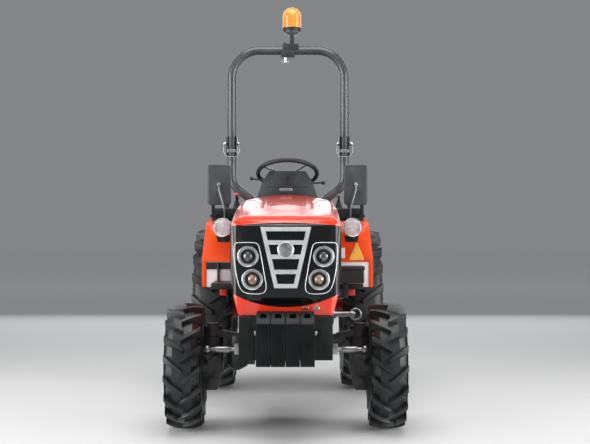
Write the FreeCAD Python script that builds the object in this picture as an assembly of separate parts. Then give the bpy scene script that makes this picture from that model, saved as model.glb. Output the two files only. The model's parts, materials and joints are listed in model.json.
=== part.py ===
"""Compact four-wheel-drive farm tractor with a folding roll bar, in millimetres.

Frame: +X is the tractor's own left, -Y is forward, +Z is up. The origin is on the ground, under the middle of
the overall box. Each piece is a solid of its own, written to parts/NODE.step. Left and right pieces are
mirror images about the plane x = 0.
"""
import FreeCAD
import Part
import math
import os

V = FreeCAD.Vector

# ---------------------------------------------------------------- driving dimensions
wheelbase = 1550.0
front_overhang = 620.0          # front axle to the front of the ballast weights
rear_overhang = 650.0           # rear axle to the ends of the lower links
front_axle_y = front_overhang - (front_overhang + wheelbase + rear_overhang) / 2
rear_axle_y = front_axle_y + wheelbase

front_tyre_od = 615.0
front_tyre_width = 180.0
front_track = 988.0
front_rim_seat_r = 152.0
front_rim_width = 118.0
front_lug_pairs = 18
front_lug_height = 24.0

rear_tyre_od = 980.0
rear_tyre_width = 240.0
rear_track = 892.0
rear_rim_seat_r = 254.0
rear_rim_width = 178.0
rear_lug_pairs = 22
rear_lug_height = 30.0

rim_wall = 6.0
rim_flange = 16.0
lug_half = 0.055                # half width of a tread bar, as a share of the tyre's width
running_gap = 0.05              # radial clearance of a shaft in its bore
seat_gap = 0.3                  # gap where two pieces sit on each other
sheet = 6.0                     # fenders and decks
hood_wall = 5.0

# steering and front axle
king_pin_inset = 132.0          # king pin inboard of the wheel's middle
king_pin_x = front_track / 2 - king_pin_inset
arm_forward = 120.0             # steering ball ahead of the king pin
arm_out = 20.0                  # steering ball outboard of the king pin
tie_z = 398.0                   # height of the steering cylinder and tie rods
axle_z = 424.0
axle_tube_r = 40.0
rod_end_x = 235.0               # joint between piston rod and tie rod
tie_ball_r = 19.0
cylinder_r = 27.0
piston_rod_r = 11.0
pin_housing_r = 46.0
pin_housing_top = 505.0
pin_housing_bottom = 452.0
drive_x = -175.0                # line of the front drive shaft
drive_z = 376.0
drive_nose = 165.0
drive_shaft_r = 24.0
diff_inset = 110.0              # differential inboard of the king pin
diff_x = -(king_pin_x - diff_inset)

# frame, engine, gearbox
frame_half = 218.0
frame_front_y = front_axle_y - 382.0
frame_top = 575.0
frame_bottom = 374.0
rail_bottom = 478.0
rail_end_y = front_axle_y + 80.0
plate = 12.0
carrier_bottom = 520.0
carrier_top = 556.0
carrier_depth = 34.0
engine_half = 150.0
engine_front_y = front_axle_y - 110.0
engine_back_y = front_axle_y + 480.0
engine_bottom = 440.0
engine_top = 800.0
front_hub_z = front_tyre_od / 2 * math.cos(2 * lug_half * front_tyre_width / front_tyre_od)
rear_axle_z = rear_tyre_od / 2 * math.cos(2 * lug_half * rear_tyre_width / rear_tyre_od)
rear_tyre_r = rear_tyre_od / 2
gear_half = 140.0
gear_side = 130.0               # half width of the gearbox ahead of the axle
gear_bottom = rear_axle_z - 160.0
gear_top = rear_axle_z + 150.0
lift_base_z = rear_axle_z + 200.0
gear_rear_y = rear_axle_y + 150.0
gear_step_y = rear_axle_y - 230.0
trumpet_r = 56.0
trumpet_x = 360.0
axle_flange_r = 98.0

# hood
hood_front_y = front_axle_y - 380.0
hood_back_y = front_axle_y + 750.0
hood_half = 267.0
hood_base_half = 217.0
hood_knee_z = 790.0             # below this the sides curve inwards
hood_front_top = 1042.0
hood_back_top = 1168.0
hood_shoulder_r = 55.0
hood_crown = 26.0
hood_front_bottom = 580.0
hood_side_bottom = 640.0
hood_hinge_y = hood_back_y - 14.0
hood_hinge_z = hood_back_top - 50.0
hood_pin_r = 8.0
hood_arm_x = 150.0
fascia_depth = 150.0            # how far the black front wraps back along the sides

# operator's station
tyre_room = 75.0                # fender above and ahead of the rear tyre
floor_z = rear_axle_z + 190.0
floor_half = 418.0
floor_front_y = front_axle_y + 660.0
fender_front_y = rear_axle_y - rear_tyre_r - tyre_room - 5.0
fender_back_y = rear_axle_y + rear_tyre_r - 20.0
fender_top = rear_axle_z + rear_tyre_r + tyre_room
fender_inner_x = 284.0
fender_outer_x = 492.0
fender_panel_z = fender_top - 265.0
fender_strip_z = fender_top - 410.0
deck_z = floor_z + 60.0
seat_z = deck_z + 110.0
cushion_top = seat_z + 90.0
back_top = cushion_top + 260.0
bulkhead_y = hood_back_y + 42.0
cowl_top = hood_back_top + 136.0
wheel_behind = 950.0            # steering wheel behind the front axle
wheel_above = 128.0             # and above the back of the hood
wheel_centre = V(0, front_axle_y + wheel_behind, hood_back_top + wheel_above)
column_tilt = 24.0
steering_wheel_r = 181.0
rim_tube_r = 12.5
column_shaft_r = 9.0
wheel_dish = 12.0               # hub below the middle of the rim

# roll bar
bar_y = rear_axle_y + 50.0
bar_tube_r = 28.0
bar_half = 352.0                # tube centre
bar_top = 2092.0                # tube centre
bar_corner_r = 172.0
bar_hinge_z = 1508.0
bar_bend_z = 1248.0
bar_foot_x = 214.0
bar_lean_drop = 97.0            # fall of the leaning run from its upper bend to its lower one
bar_foot_z = rear_axle_z + 100.0
bar_pin_r = 9.0
beacon_x = 24.0
beacon_base_z = 2187.0
beacon_r = 58.0

# rear linkage
link_pin_y = rear_axle_y - 60.0
link_pin_z = rear_axle_z - 160.0
link_pin_x = 175.0
link_pin_r = 12.0
link_end_x = 300.0
link_end_y = rear_axle_y + rear_overhang - 27.0
link_end_z = link_pin_z + 70.0
rockshaft_y = rear_axle_y + 40.0
rockshaft_z = lift_base_z + 70.0
rockshaft_r = 24.0
lift_arm_y = rockshaft_y + 230.0
lift_arm_z = rockshaft_z + 40.0
lift_arm_x = 150.0
top_link_y = rockshaft_y + 120.0
ball_bore_r = 11.2
top_bore_r = 9.6
pto_r = 17.45
pto_z = rear_axle_z + 30.0
eye_width = 35.0


# ---------------------------------------------------------------- helpers
def box(x0, x1, y0, y1, z0, z1):
    return Part.makeBox(x1 - x0, y1 - y0, z1 - z0, V(x0, y0, z0))


def rod(start, end, r):
    """A round bar from one point to another."""
    a, b = V(*start), V(*end)
    return Part.makeCylinder(r, (b - a).Length, a, b - a)


def polygon(points):
    return Part.makePolygon([*points, points[0]])


def prism_x(points, x0, x1):
    """A (y, z) outline pushed along X."""
    return Part.Face(polygon([V(x0, y, z) for y, z in points])).extrude(V(x1 - x0, 0, 0))


def prism_y(points, y0, y1):
    """An (x, z) outline pushed along Y."""
    return Part.Face(polygon([V(x, y0, z) for x, z in points])).extrude(V(0, y1 - y0, 0))


def prism_z(points, z0, z1):
    """An (x, y) outline pushed along Z."""
    return Part.Face(polygon([V(x, y, z0) for x, y in points])).extrude(V(0, 0, z1 - z0))


def rounded_path(points, radii):
    """A wire of straight runs joined by tangent arcs, one radius for each inner point."""
    pts = [V(*p) for p in points]
    edges, last = [], pts[0]
    for p, q, n, r in zip(pts[1:-1], pts[:-2], pts[2:], radii):
        u, w = (q - p).normalize(), (n - p).normalize()
        half = u.getAngle(w) / 2
        cut = r / math.tan(half)
        start, end = p + u * cut, p + w * cut
        middle = p + (u + w).normalize() * (r / math.sin(half) - r)
        if (start - last).Length > 1e-6:
            edges.append(Part.LineSegment(last, start).toShape())
        edges.append(Part.Arc(start, middle, end).toShape())
        last = end
    if (pts[-1] - last).Length > 1e-6:
        edges.append(Part.LineSegment(last, pts[-1]).toShape())
    return Part.Wire(edges)


def bent_tube(points, radii, r):
    """A round tube, solid inside, along a bent path."""
    path = rounded_path(points, radii)
    start = V(*points[0])
    along = V(*points[1]) - start
    section = Part.Wire(Part.makeCircle(r, start, along))
    return path.makePipeShell([section], True, True)


def rounded_box(x0, x1, y0, y1, z0, z1, r):
    body = box(x0, x1, y0, y1, z0, z1)
    return body.makeFillet(r, body.Edges)


def mirrored(shape):
    return shape.mirror(V(0, 0, 0), V(1, 0, 0))


def both(shape):
    """The piece and its mirror image, as one compound of two solids."""
    return Part.makeCompound([shape, mirrored(shape)])


def fused(first, *others):
    return first.fuse(list(others)).removeSplitter()


def revolved_x(profile, centre):
    """A (radius, along) outline turned about an X axis through centre."""
    wire = polygon([V(a, r, 0) for r, a in profile])
    return Part.Face(wire).revolve(V(0, 0, 0), V(1, 0, 0), 360).translate(centre)


def revolved_z(profile, centre):
    """A (radius, height) outline turned about a vertical axis through centre."""
    wire = polygon([V(r, 0, h) for r, h in profile])
    return Part.Face(wire).revolve(V(0, 0, 0), V(0, 0, 1), 360).translate(centre)


def solid_of(faces):
    made = Part.Solid(Part.Shell(faces))
    if made.Volume < 0:
        made.reverse()
    return made


# ---------------------------------------------------------------- tyres
def on_wheel(radius, along, degrees):
    a = math.radians(degrees)
    return V(along, radius * math.cos(a), radius * math.sin(a))


def faceted_ring(profile, sides):
    """A closed (radius, along) outline carried round the X axis in flat steps."""
    faces = []
    step = 360.0 / sides
    for k in range(sides):
        for (r0, a0), (r1, a1) in zip(profile, profile[1:] + profile[:1]):
            corners = [on_wheel(r0, a0, k * step), on_wheel(r1, a1, k * step),
                       on_wheel(r1, a1, (k + 1) * step), on_wheel(r0, a0, (k + 1) * step)]
            faces.append(Part.Face(polygon(corners)))
    return solid_of(faces)


def lug(side, inner, outer, angle, sweep):
    """One tread bar. inner and outer are (along, top radius, bottom radius, half width) of its two ends."""
    ends = []
    for (along, top, bottom, half), at in ((inner, angle), (outer, angle - sweep)):
        lean = math.degrees(half / top)
        foot = lean * 1.35
        ends.append([on_wheel(top, side * along, at - lean), on_wheel(top, side * along, at + lean),
                     on_wheel(bottom, side * along, at + foot), on_wheel(bottom, side * along, at - foot)])
    a, b = ends
    faces = [Part.Face(polygon([a[0], a[1], a[2]])), Part.Face(polygon([a[0], a[2], a[3]])),
             Part.Face(polygon([b[0], b[2], b[1]])), Part.Face(polygon([b[0], b[3], b[2]]))]
    for i in range(4):
        j = (i + 1) % 4
        faces.append(Part.Face(polygon([a[i], b[i], b[j]])))
        faces.append(Part.Face(polygon([a[i], b[j], a[j]])))
    return solid_of(faces)


def tyre(od, width, seat_r, rim_width, pairs, lug_height, centre):
    """Bar-lug farm tyre. The lugs' inner ends point down at the front of the wheel."""
    tip = od / 2
    carcass = tip - lug_height
    shoulder_drop = width * 0.1
    sides = pairs * 2
    bore = (seat_r + seat_gap) / math.cos(math.pi / sides)
    half = width / 2
    wall_r = (bore + carcass) / 2
    bead = rim_width / 2 - rim_wall - seat_gap
    right = [(bore, bead), (bore + rim_flange + 3, bead), (wall_r, half),
             (carcass - shoulder_drop, half - width * 0.07), (carcass, width * 0.2)]
    left = [(r, -a) for r, a in reversed(right)]
    body = faceted_ring(right + left, sides)
    inner = (-width * 0.03, tip, carcass - 6, width * lug_half)
    outer = (half - 4, tip - width * 0.085, carcass - shoulder_drop - 14, width * 0.08)
    sweep = math.degrees(half * 0.78 / tip)
    pitch = 360.0 / pairs
    lugs = []
    for k in range(pairs):
        lugs.append(lug(1, inner, outer, 270 + k * pitch, sweep))
        lugs.append(lug(-1, inner, outer, 270 + (k + 0.5) * pitch, sweep))
    return body.fuse(lugs).translate(centre)


def front_wheel_centre(side):
    return V(side * front_track / 2, front_axle_y, front_hub_z)


def rear_wheel_centre(side):
    return V(side * rear_track / 2, rear_axle_y, rear_axle_z)


def rim(seat_r, width, hub_r, bore_r, dish, boss, studs, side, centre):
    """Steel rim with a dished centre, hub boss and nuts. dish is where the centre plate lies along the axle."""
    half = width / 2
    flange = seat_r + rim_flange
    inner = seat_r - rim_wall
    well = seat_r - 22
    section = [(seat_r, half - rim_wall), (flange, half - rim_wall), (flange, half), (inner, half),
               (inner, half - 22), (well - rim_wall, half - 40), (well - rim_wall, -half + 40),
               (inner, -half + 22), (inner, -half), (flange, -half), (flange, -half + rim_wall),
               (seat_r, -half + rim_wall), (seat_r, -half + 22), (well, -half + 40), (well, half - 40),
               (seat_r, half - 22)]
    barrel = revolved_x(section, V(0, 0, 0))
    disc = revolved_x([(bore_r, dish - 5), (hub_r * 1.5, dish - 5), (well - 2, dish + 14), (well - 2, dish + 22),
                       (hub_r * 1.5, dish + 5), (bore_r, dish + 5)], V(0, 0, 0))
    hub = revolved_x([(bore_r, dish - boss), (hub_r, dish - boss), (hub_r, dish + 14),
                      (hub_r * 0.6, dish + 26), (bore_r, dish + 26)], V(0, 0, 0))
    nuts = [rod((dish - 2, 0, 0), (dish + 20, 0, 0), 11).translate(on_wheel(hub_r * 1.27, 0, 360 * k / studs))
            for k in range(studs)]
    made = fused(barrel, disc, hub, *nuts)
    if side < 0:
        made = mirrored(made)
    return made.translate(centre)


front_stub_r = 22.0
rear_stub_r = 30.0
front_dish = -6.0
rear_dish = -30.0
front_boss = 44.0
rear_boss = 36.0


# ---------------------------------------------------------------- front axle and steering
def front_axle():
    """Driven beam axle, with the differential off-centre and a centre pivot block."""
    end = king_pin_x - 92
    tube = rod((-end, front_axle_y, axle_z), (end, front_axle_y, axle_z), axle_tube_r)
    diff = revolved_x([(0, -40), (62, -38), (92, -12), (92, 18), (70, 60), (0, 66)],
                      V(diff_x, front_axle_y, drive_z))
    nose = rod((drive_x, front_axle_y, drive_z), (drive_x, front_axle_y + drive_nose, drive_z), drive_shaft_r + 14)
    web = box(diff_x, drive_x + 20, front_axle_y - 30, front_axle_y + 60, drive_z - 60, drive_z + 60)
    pivot = box(-70, 70, front_axle_y - 46, front_axle_y + 46, axle_z - 30, rail_bottom - seat_gap)
    y = front_axle_y - arm_forward
    pads = [box(x - 14, x + 14, y, front_axle_y, tie_z - 16, tie_z + 18) for x in (-105, 105)]
    made = fused(tube, diff, nose, web, pivot, *pads)
    made = made.cut(rod((-200, y, tie_z), (200, y, tie_z), cylinder_r + seat_gap))
    return fused(made, king_pin_housing(-1), king_pin_housing(1))


def king_pin_housing(side):
    """Bevel gear housing at the axle's end, above the final drive, with its top cap."""
    body = rod((side * king_pin_x, front_axle_y, pin_housing_bottom),
               (side * king_pin_x, front_axle_y, pin_housing_top), pin_housing_r)
    x0 = king_pin_x - 96
    arm = prism_y([(x0 - 20, axle_z - 30), (x0 + 14, axle_z - 30), (x0 + 26, pin_housing_bottom),
                   (king_pin_x, pin_housing_bottom), (king_pin_x, pin_housing_top - 10), (x0 - 20, axle_z + 42)],
                  front_axle_y - 36, front_axle_y + 36)
    if side < 0:
        arm = mirrored(arm)
    cap = rod((side * king_pin_x, front_axle_y, pin_housing_top),
              (side * king_pin_x, front_axle_y, pin_housing_top + 12), 30)
    return body.fuse([arm, cap])


def steering_cylinder():
    y = front_axle_y - arm_forward
    barrel = rod((-132, y, tie_z), (132, y, tie_z), cylinder_r)
    glands = [rod((s * 126, y, tie_z), (s * 138, y, tie_z), cylinder_r - 4) for s in (-1, 1)]
    ports = [rod((s * 96, y, tie_z + 20), (s * 96, y, tie_z + 42), 9) for s in (-1, 1)]
    bore = rod((-160, y, tie_z), (160, y, tie_z), piston_rod_r + running_gap)
    return fused(barrel, *glands, *ports).cut(bore)


def tie_rods():
    """The piston rod with a link to each steering arm, as one sliding piece."""
    y = front_axle_y - arm_forward
    ball_x = king_pin_x + arm_out
    parts = [rod((-rod_end_x, y, tie_z), (rod_end_x, y, tie_z), piston_rod_r)]
    for s in (-1, 1):
        parts.append(box(-15, 15, y - 20, y + 20, tie_z - 22, tie_z + 28).translate(V(s * rod_end_x, 0, 0)))
        parts.append(rod((s * rod_end_x, y, tie_z), (s * ball_x, y, tie_z), 10))
        parts.append(rod((s * (rod_end_x + 36), y, tie_z), (s * (ball_x - 38), y, tie_z), 15))
        parts.append(Part.makeSphere(tie_ball_r, V(s * ball_x, y, tie_z)))
    return fused(*parts)


arm_top = tie_z - tie_ball_r - seat_gap


def knuckle(side):
    """Final drive case that swings about the king pin, with its steering arm and hub spigot."""
    x, y, z = king_pin_x, front_axle_y, front_hub_z
    case = prism_y([(x - 44, z + 85), (x + 49, z + 85), (x + 49, z - 55), (x + 37, z - 117), (x - 25, z - 117),
                    (x - 40, z - 55)], y - 36, y + 36)
    case = case.makeFillet(12, [e for e in case.Edges if abs(e.tangentAt(e.FirstParameter).y) > 0.99])
    head = rod((x, y, z + 30), (x, y, pin_housing_bottom - seat_gap), 50)
    hub = rod((x + 20, y, z), (front_track / 2 + front_dish - front_boss - 2, y, z), 50)
    stub = rod((x, y, z), (front_track / 2 + front_dish + 22, y, z), front_stub_r)
    cover = rod((x - 50, y, z), (x, y, z), 33)
    ball_x = x + arm_out
    arm = prism_z([(x - 34, y - 24), (ball_x - 20, y - arm_forward - 16), (ball_x + 20, y - arm_forward - 16),
                   (x + 44, y - 24)], arm_top - 18, arm_top)
    bolt = rod((ball_x, y - arm_forward, arm_top - 30), (ball_x, y - arm_forward, arm_top - 10), 14)
    plug = rod((x + 6, y - 44, z - 70), (x + 6, y - 30, z - 70), 20)
    made = fused(case, head, hub, stub, cover, arm, bolt, plug)
    return made if side > 0 else mirrored(made)


# ---------------------------------------------------------------- frame, weights, engine, gearbox
def front_frame():
    """Front bolster: a front plate, two side rails, a cross plate over the axle and the weight carrier."""
    f = frame_front_y
    front = box(-frame_half, frame_half, f, f + plate, frame_bottom, frame_top)
    rail = box(frame_half - plate, frame_half, f, rail_end_y, rail_bottom, frame_top)
    cheek = prism_x([(f, frame_bottom), (f + 60, frame_bottom), (f + 84, rail_bottom), (f, rail_bottom)],
                    frame_half - plate, frame_half)
    cross = box(-frame_half, frame_half, front_axle_y - 120, front_axle_y + 60, rail_bottom, rail_bottom + plate)
    tray = box(-frame_half, frame_half, f, engine_front_y - 60, frame_top - plate, frame_top)
    lug_plate = box(engine_half, frame_half, rail_end_y - 150, rail_end_y, rail_bottom, frame_top)
    carrier = box(-150, 150, f - carrier_depth, f, carrier_bottom, carrier_top)
    return fused(front, rail, mirrored(rail), cheek, mirrored(cheek), cross, tray, lug_plate, mirrored(lug_plate),
                 carrier)


weight_width = 64.0
weight_gap = 2.0
weight_count = 4


def front_weights():
    """Suitcase weights hooked over the carrier bar."""
    f = frame_front_y
    front, back = front_axle_y - front_overhang, f - seat_gap
    hook = f - carrier_depth - seat_gap
    top = carrier_top + 49
    outline = [(front, 380), (front + 14, 369), (back, 369), (back, carrier_bottom - seat_gap),
               (hook, carrier_bottom - seat_gap), (hook, carrier_top + seat_gap), (back, carrier_top + seat_gap),
               (back, top - 9), (back - 30, top), (front + 96, top), (front + 60, top - 9), (front + 14, top - 31),
               (front, top - 45)]
    handle = prism_x([(front + 92, top - 33), (front + 170, top - 33), (front + 170, top - 15),
                      (front + 92, top - 15)], -1, weight_width + 1)
    slot = box(18, weight_width - 18, front + 40, front + 92, top - 45, top + 15)
    one = prism_x(outline, 0, weight_width).cut(handle).cut(slot)
    pitch = weight_width + weight_gap
    first = -(weight_count * pitch - weight_gap) / 2
    return Part.makeCompound([one.copy().translate(V(first + k * pitch, 0, 0)) for k in range(weight_count)])


def engine():
    """Engine block with sump, rocker cover, manifold, filter and fan pulley."""
    e, b = engine_front_y, engine_back_y
    step = rail_bottom + plate + seat_gap
    block = prism_x([(e, step), (e + 240, step), (e + 260, engine_bottom), (b, engine_bottom), (b, engine_top),
                     (e, engine_top)], -engine_half, engine_half)
    head = box(-engine_half + 25, engine_half - 35, e + 20, b - 30, engine_top, engine_top + 80)
    cover = box(-70, 60, e + 40, b - 50, engine_top + 80, engine_top + 125)
    sump = prism_x([(e + 275, engine_bottom), (e + 300, engine_bottom - 95), (b - 60, engine_bottom - 95),
                    (b - 20, engine_bottom)], -110, 110)
    pulley = rod((0, e - 34, 580), (0, e, 580), 75)
    manifold = box(engine_half - 35, engine_half + 20, e + 90, b - 120, engine_top, engine_top + 50)
    oil_filter = rod((-engine_half, e + 330, 560), (-engine_half - 75, e + 330, 560), 38)
    pump = rod((-engine_half - 30, e + 140, 650), (-engine_half - 30, e + 260, 650), 34)
    starter = rod((engine_half + 28, b - 150, 520), (engine_half + 28, b - 10, 520), 36)
    return fused(block, head, cover, sump, pulley, manifold, oil_filter, pump, starter)


def exhaust():
    """Silencer along the left of the engine. Its outlet elbow ends in a ring behind the front wheel."""
    x, z = engine_half + 60, engine_bottom + 176
    y0, y1 = front_axle_y + 90, front_axle_y + 260
    can = rod((x, y0, z), (x, y1, z), 34)
    inlet = rod((engine_half, y0 + 60, z + 10), (x, y0 + 60, z + 10), 20)
    pipe = bent_tube([(x, y1 - 10, z), (x, y1 + 60, z), (x + 30, y1 + 100, z - 82), (x + 148, y1 + 100, z - 82)],
                     [26, 34], 14)
    ring = Part.makeTorus(28, 5, V(x + 150, y1 + 100, z - 82), V(0, 1, 0))
    bar = rod((x + 140, y1 + 100, z - 82), (x + 124, y1 + 100, z - 82), 16)
    return fused(can, inlet, pipe, ring, bar)


def gearbox():
    """Clutch housing, gearbox and rear axle centre in one casting."""
    e, step, back = engine_back_y, gear_step_y, gear_rear_y
    low, top = gear_bottom, gear_top
    bell = prism_y([(-150, engine_bottom - 10), (150, engine_bottom - 10), (150, top), (100, top + 70),
                    (-100, top + 70), (-150, top)], e, e + 60)
    shelf = top - 40
    middle = prism_y([(-110, low + 30), (110, low + 30), (gear_side, low + 70), (gear_side, shelf), (90, top),
                      (-90, top), (-gear_side, shelf), (-gear_side, low + 70)], e + 60, step)
    rear = prism_y([(-gear_half, low), (gear_half, low), (gear_half, top - 20), (110, lift_base_z - 22),
                    (-110, lift_base_z - 22), (-gear_half, top - 20)], step, back)
    lift_base = box(-105, 105, rockshaft_y - 90, rockshaft_y + 80, lift_base_z - 22, lift_base_z)
    return fused(bell, middle, rear, lift_base)


def rear_axle():
    """Two trumpet housings bolted to the gearbox, with flanges for the roll bar feet, and the axle stubs."""
    stub_end = rear_track / 2 + rear_dish + 22
    one = revolved_x([(0, gear_half), (axle_flange_r, gear_half), (axle_flange_r, gear_half + 22),
                      (70, gear_half + 50), (trumpet_r, gear_half + 90), (trumpet_r, trumpet_x - 24),
                      (trumpet_r + 20, trumpet_x - 20), (trumpet_r + 20, trumpet_x), (rear_stub_r, trumpet_x),
                      (rear_stub_r, stub_end), (0, stub_end)], V(0, rear_axle_y, rear_axle_z))
    saddle = box(bar_foot_x - 62, bar_foot_x + 34, rear_axle_y - 45, bar_y + 55, rear_axle_z + 40, bar_foot_z)
    return both(one.fuse(saddle).removeSplitter())


def drive_shaft():
    """Guarded shaft from the gearbox to the front differential."""
    x, z = drive_x, drive_z
    y0, y1 = front_axle_y + drive_nose + seat_gap, gear_step_y - 70
    tube = rod((x, y0, z), (x, y1, z), drive_shaft_r)
    box_out = box(x - 38, -gear_side, y1, y1 + 60, z - 50, z + 70)
    return fused(tube, box_out)


# ---------------------------------------------------------------- hood
def hood_section(y, half, top, crown, t):
    """Cross-section of the hood, moved in by t: sides that curve in below, round shoulders and a crowned top."""
    half, top, r = half - t, top - t, hood_shoulder_r - t
    low = hood_front_bottom - 8 - t
    base = V(hood_base_half - t, y, low)
    bulge = V(hood_base_half + (half + t - hood_base_half) * 0.62 - t, y, low + (hood_knee_z - low) * 0.46)
    knee = V(half, y, hood_knee_z)
    shoulder = [V(half, y, top - crown - r), V(half - r * 0.2929, y, top - crown - r * 0.2929),
                V(half - r, y, top - crown)]
    flip = lambda p: V(-p.x, p.y, p.z)
    edges = [Part.Arc(base, bulge, knee).toShape(), Part.LineSegment(knee, shoulder[0]).toShape(),
             Part.Arc(*shoulder).toShape(), Part.Arc(shoulder[2], V(0, y, top), flip(shoulder[2])).toShape(),
             Part.Arc(*[flip(p) for p in reversed(shoulder)]).toShape(),
             Part.LineSegment(flip(shoulder[0]), flip(knee)).toShape(),
             Part.Arc(flip(knee), flip(bulge), flip(base)).toShape(), Part.LineSegment(flip(base), base).toShape()]
    return Part.Wire(edges)


def hood_envelope(t):
    """The hood's outer form moved in by t: a tapering tunnel, cut by a bowed nose."""
    y0, y1, y2 = hood_front_y - 30, hood_back_y - 550, hood_back_y + (1 if t > 0 else 0)
    rise = hood_back_top - hood_front_top
    tunnel = Part.makeLoft([hood_section(y0, hood_half - 10, hood_front_top, hood_crown * 0.7, t),
                            hood_section(y1, hood_half, hood_front_top + rise * 0.62, hood_crown * 0.92, t),
                            hood_section(y2, hood_half - 5, hood_back_top, hood_crown, t)], True, False)
    return tunnel.common(nose_block(t))


def nose_block(t):
    """Plan and side outlines of the nose, both bowed, with round corners."""
    half, f, b = hood_half + 10, hood_front_y + t, hood_back_y + 10
    corner_y = hood_front_y + 88 + t
    face, cheek = hood_half - 34 - t, hood_half - t
    edges = [Part.Arc(V(-face, f + 34, 0), V(0, f, 0), V(face, f + 34, 0)).toShape(),
             Part.Arc(V(face, f + 34, 0), V(cheek - 10, f + 52, 0), V(cheek, corner_y, 0)).toShape(),
             Part.LineSegment(V(cheek, corner_y, 0), V(half, b, 0)).toShape(),
             Part.LineSegment(V(half, b, 0), V(-half, b, 0)).toShape(),
             Part.LineSegment(V(-half, b, 0), V(-cheek, corner_y, 0)).toShape(),
             Part.Arc(V(-cheek, corner_y, 0), V(-cheek + 10, f + 52, 0), V(-face, f + 34, 0)).toShape()]
    low = hood_front_bottom - 100
    plan = Part.Face(Part.Wire(edges)).extrude(V(0, 0, hood_back_top - low + 100)).translate(V(0, 0, low))
    lip = hood_front_top - t
    points = [V(0, f + 40, low), V(0, f + 18, hood_front_bottom + 60), V(0, f + 2, 800), V(0, f + 12, lip - 80),
              V(0, f + 38, lip - 26), V(0, f + 110, lip + 8), V(0, b, hood_back_top + 60), V(0, b, low)]
    side = [Part.LineSegment(points[0], points[1]).toShape(), Part.Arc(*points[1:4]).toShape(),
            Part.Arc(*points[3:6]).toShape(), Part.LineSegment(points[5], points[6]).toShape(),
            Part.LineSegment(points[6], points[7]).toShape(), Part.LineSegment(points[7], points[0]).toShape()]
    profile = Part.Face(Part.Wire(side)).extrude(V(2 * half, 0, 0)).translate(V(-half, 0, 0))
    return plan.common(profile)


def hood_shell():
    """The whole skin, open below and at the back, with its lower edge trimmed."""
    skin = hood_envelope(0).cut(hood_envelope(hood_wall))
    f, b, top = hood_front_y - 50, hood_back_y + 50, hood_back_top + 200
    keep = prism_x([(f, hood_front_bottom), (front_axle_y - 170, hood_front_bottom + 6),
                    (front_axle_y - 60, hood_side_bottom), (b, floor_z + 20), (b, top), (f, top)],
                   -hood_half - 50, hood_half + 50)
    return skin.common(keep)


def fascia_outline(margin):
    """Front view of the black front: level top, sides past the hood, and a bowed lower edge."""
    m = margin
    half = hood_half + 40
    low = Part.Arc(V(half, 0, 716 + m), V(0, 0, 619 + m), V(-half, 0, 716 + m)).toShape()
    top = Part.Arc(V(-half, 0, 990 - m), V(0, 0, 1012 - m), V(half, 0, 990 - m)).toShape()
    sides = [Part.LineSegment(V(half, 0, 990 - m), V(half, 0, 716 + m)).toShape(),
             Part.LineSegment(V(-half, 0, 716 + m), V(-half, 0, 990 - m)).toShape()]
    wire = Part.Wire([low, sides[1], top, sides[0]])
    depth = hood_front_y + fascia_depth - m
    return Part.Face(wire).extrude(V(0, 400, 0)).translate(V(0, depth - 400, 0))


lamp_places = [(176.0, 854.0), (155.0, 747.0)]
lamp_r = 50.0
frame_bar = 20.0
badge_r = 38.0
badge_z = 886.0
grille_low = 708.0
grille_high = 992.0
grille_low_half = 53.0
grille_high_half = 118.0


def grille_half(z):
    """Half the width of the tapering grille frame at height z."""
    slope = (grille_high_half - grille_low_half) / (grille_high - grille_low)
    return grille_low_half + (z - grille_low) * slope


def grille_outline(z0, z1, inset):
    return [(-grille_half(z0) + inset, z0), (grille_half(z0) - inset, z0), (grille_half(z1) - inset, z1),
            (-grille_half(z1) + inset, z1)]


grille_bars = [718.0, 784.0, 854.0, 920.0, 982.0]


def grille_windows(y0, y1):
    """The four openings between the frame's bars, as cutting blocks."""
    blocks = []
    for lower, upper in zip(grille_bars[:-1], grille_bars[1:]):
        blocks.append(prism_y(grille_outline(lower + frame_bar / 2, upper - frame_bar / 2, frame_bar), y0, y1))
    return blocks


def lamp_blocks(r, y0, y1):
    blocks = []
    for x, z in lamp_places:
        for s in (-1, 1):
            blocks.append(rod((s * x, y0, z), (s * x, y1, z), r))
    return blocks


def hood_parts():
    """Red hood, black front, silver grille frame and lamps, all from one skin."""
    skin = hood_shell()
    y0, y1 = hood_front_y - 60, hood_front_y + 120
    fascia = skin.common(fascia_outline(0)).cut(Part.makeCompound(lamp_blocks(lamp_r + seat_gap, y0, y1)))
    red = skin.cut(fascia_outline(0))
    raised = hood_envelope(-9).cut(hood_envelope(-seat_gap))
    frame = raised.common(prism_y(grille_outline(grille_low, grille_high, 0), y0, y1))
    disc = raised.common(rod((0, y0, badge_z), (0, y1, badge_z), badge_r))
    frame = frame.cut(Part.makeCompound(grille_windows(y0, y1))).fuse(disc).removeSplitter()
    lamps = []
    for x, z in lamp_places:
        for s in (-1, 1):
            back = hood_front_y + 78
            front = hood_front_y + nose_set_back(x) + 4
            body = rod((s * x, front, z), (s * x, back, z), lamp_r)
            dish = Part.makeCone(lamp_r - 6, lamp_r - 20, 14, V(s * x, front, z), V(0, 1, 0))
            lens = Part.makeSphere(31, V(s * x, front + 18, z))
            lamps.append(body.cut(dish).fuse(lens).removeSplitter())
    mounts = hood_hinges()
    return red.fuse(mounts).removeSplitter(), fascia, frame, Part.makeCompound(lamps)


def nose_set_back(x):
    """How far the bowed nose lies behind its middle at x."""
    return 34.0 * (x / (hood_half - 32.0)) ** 2


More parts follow.
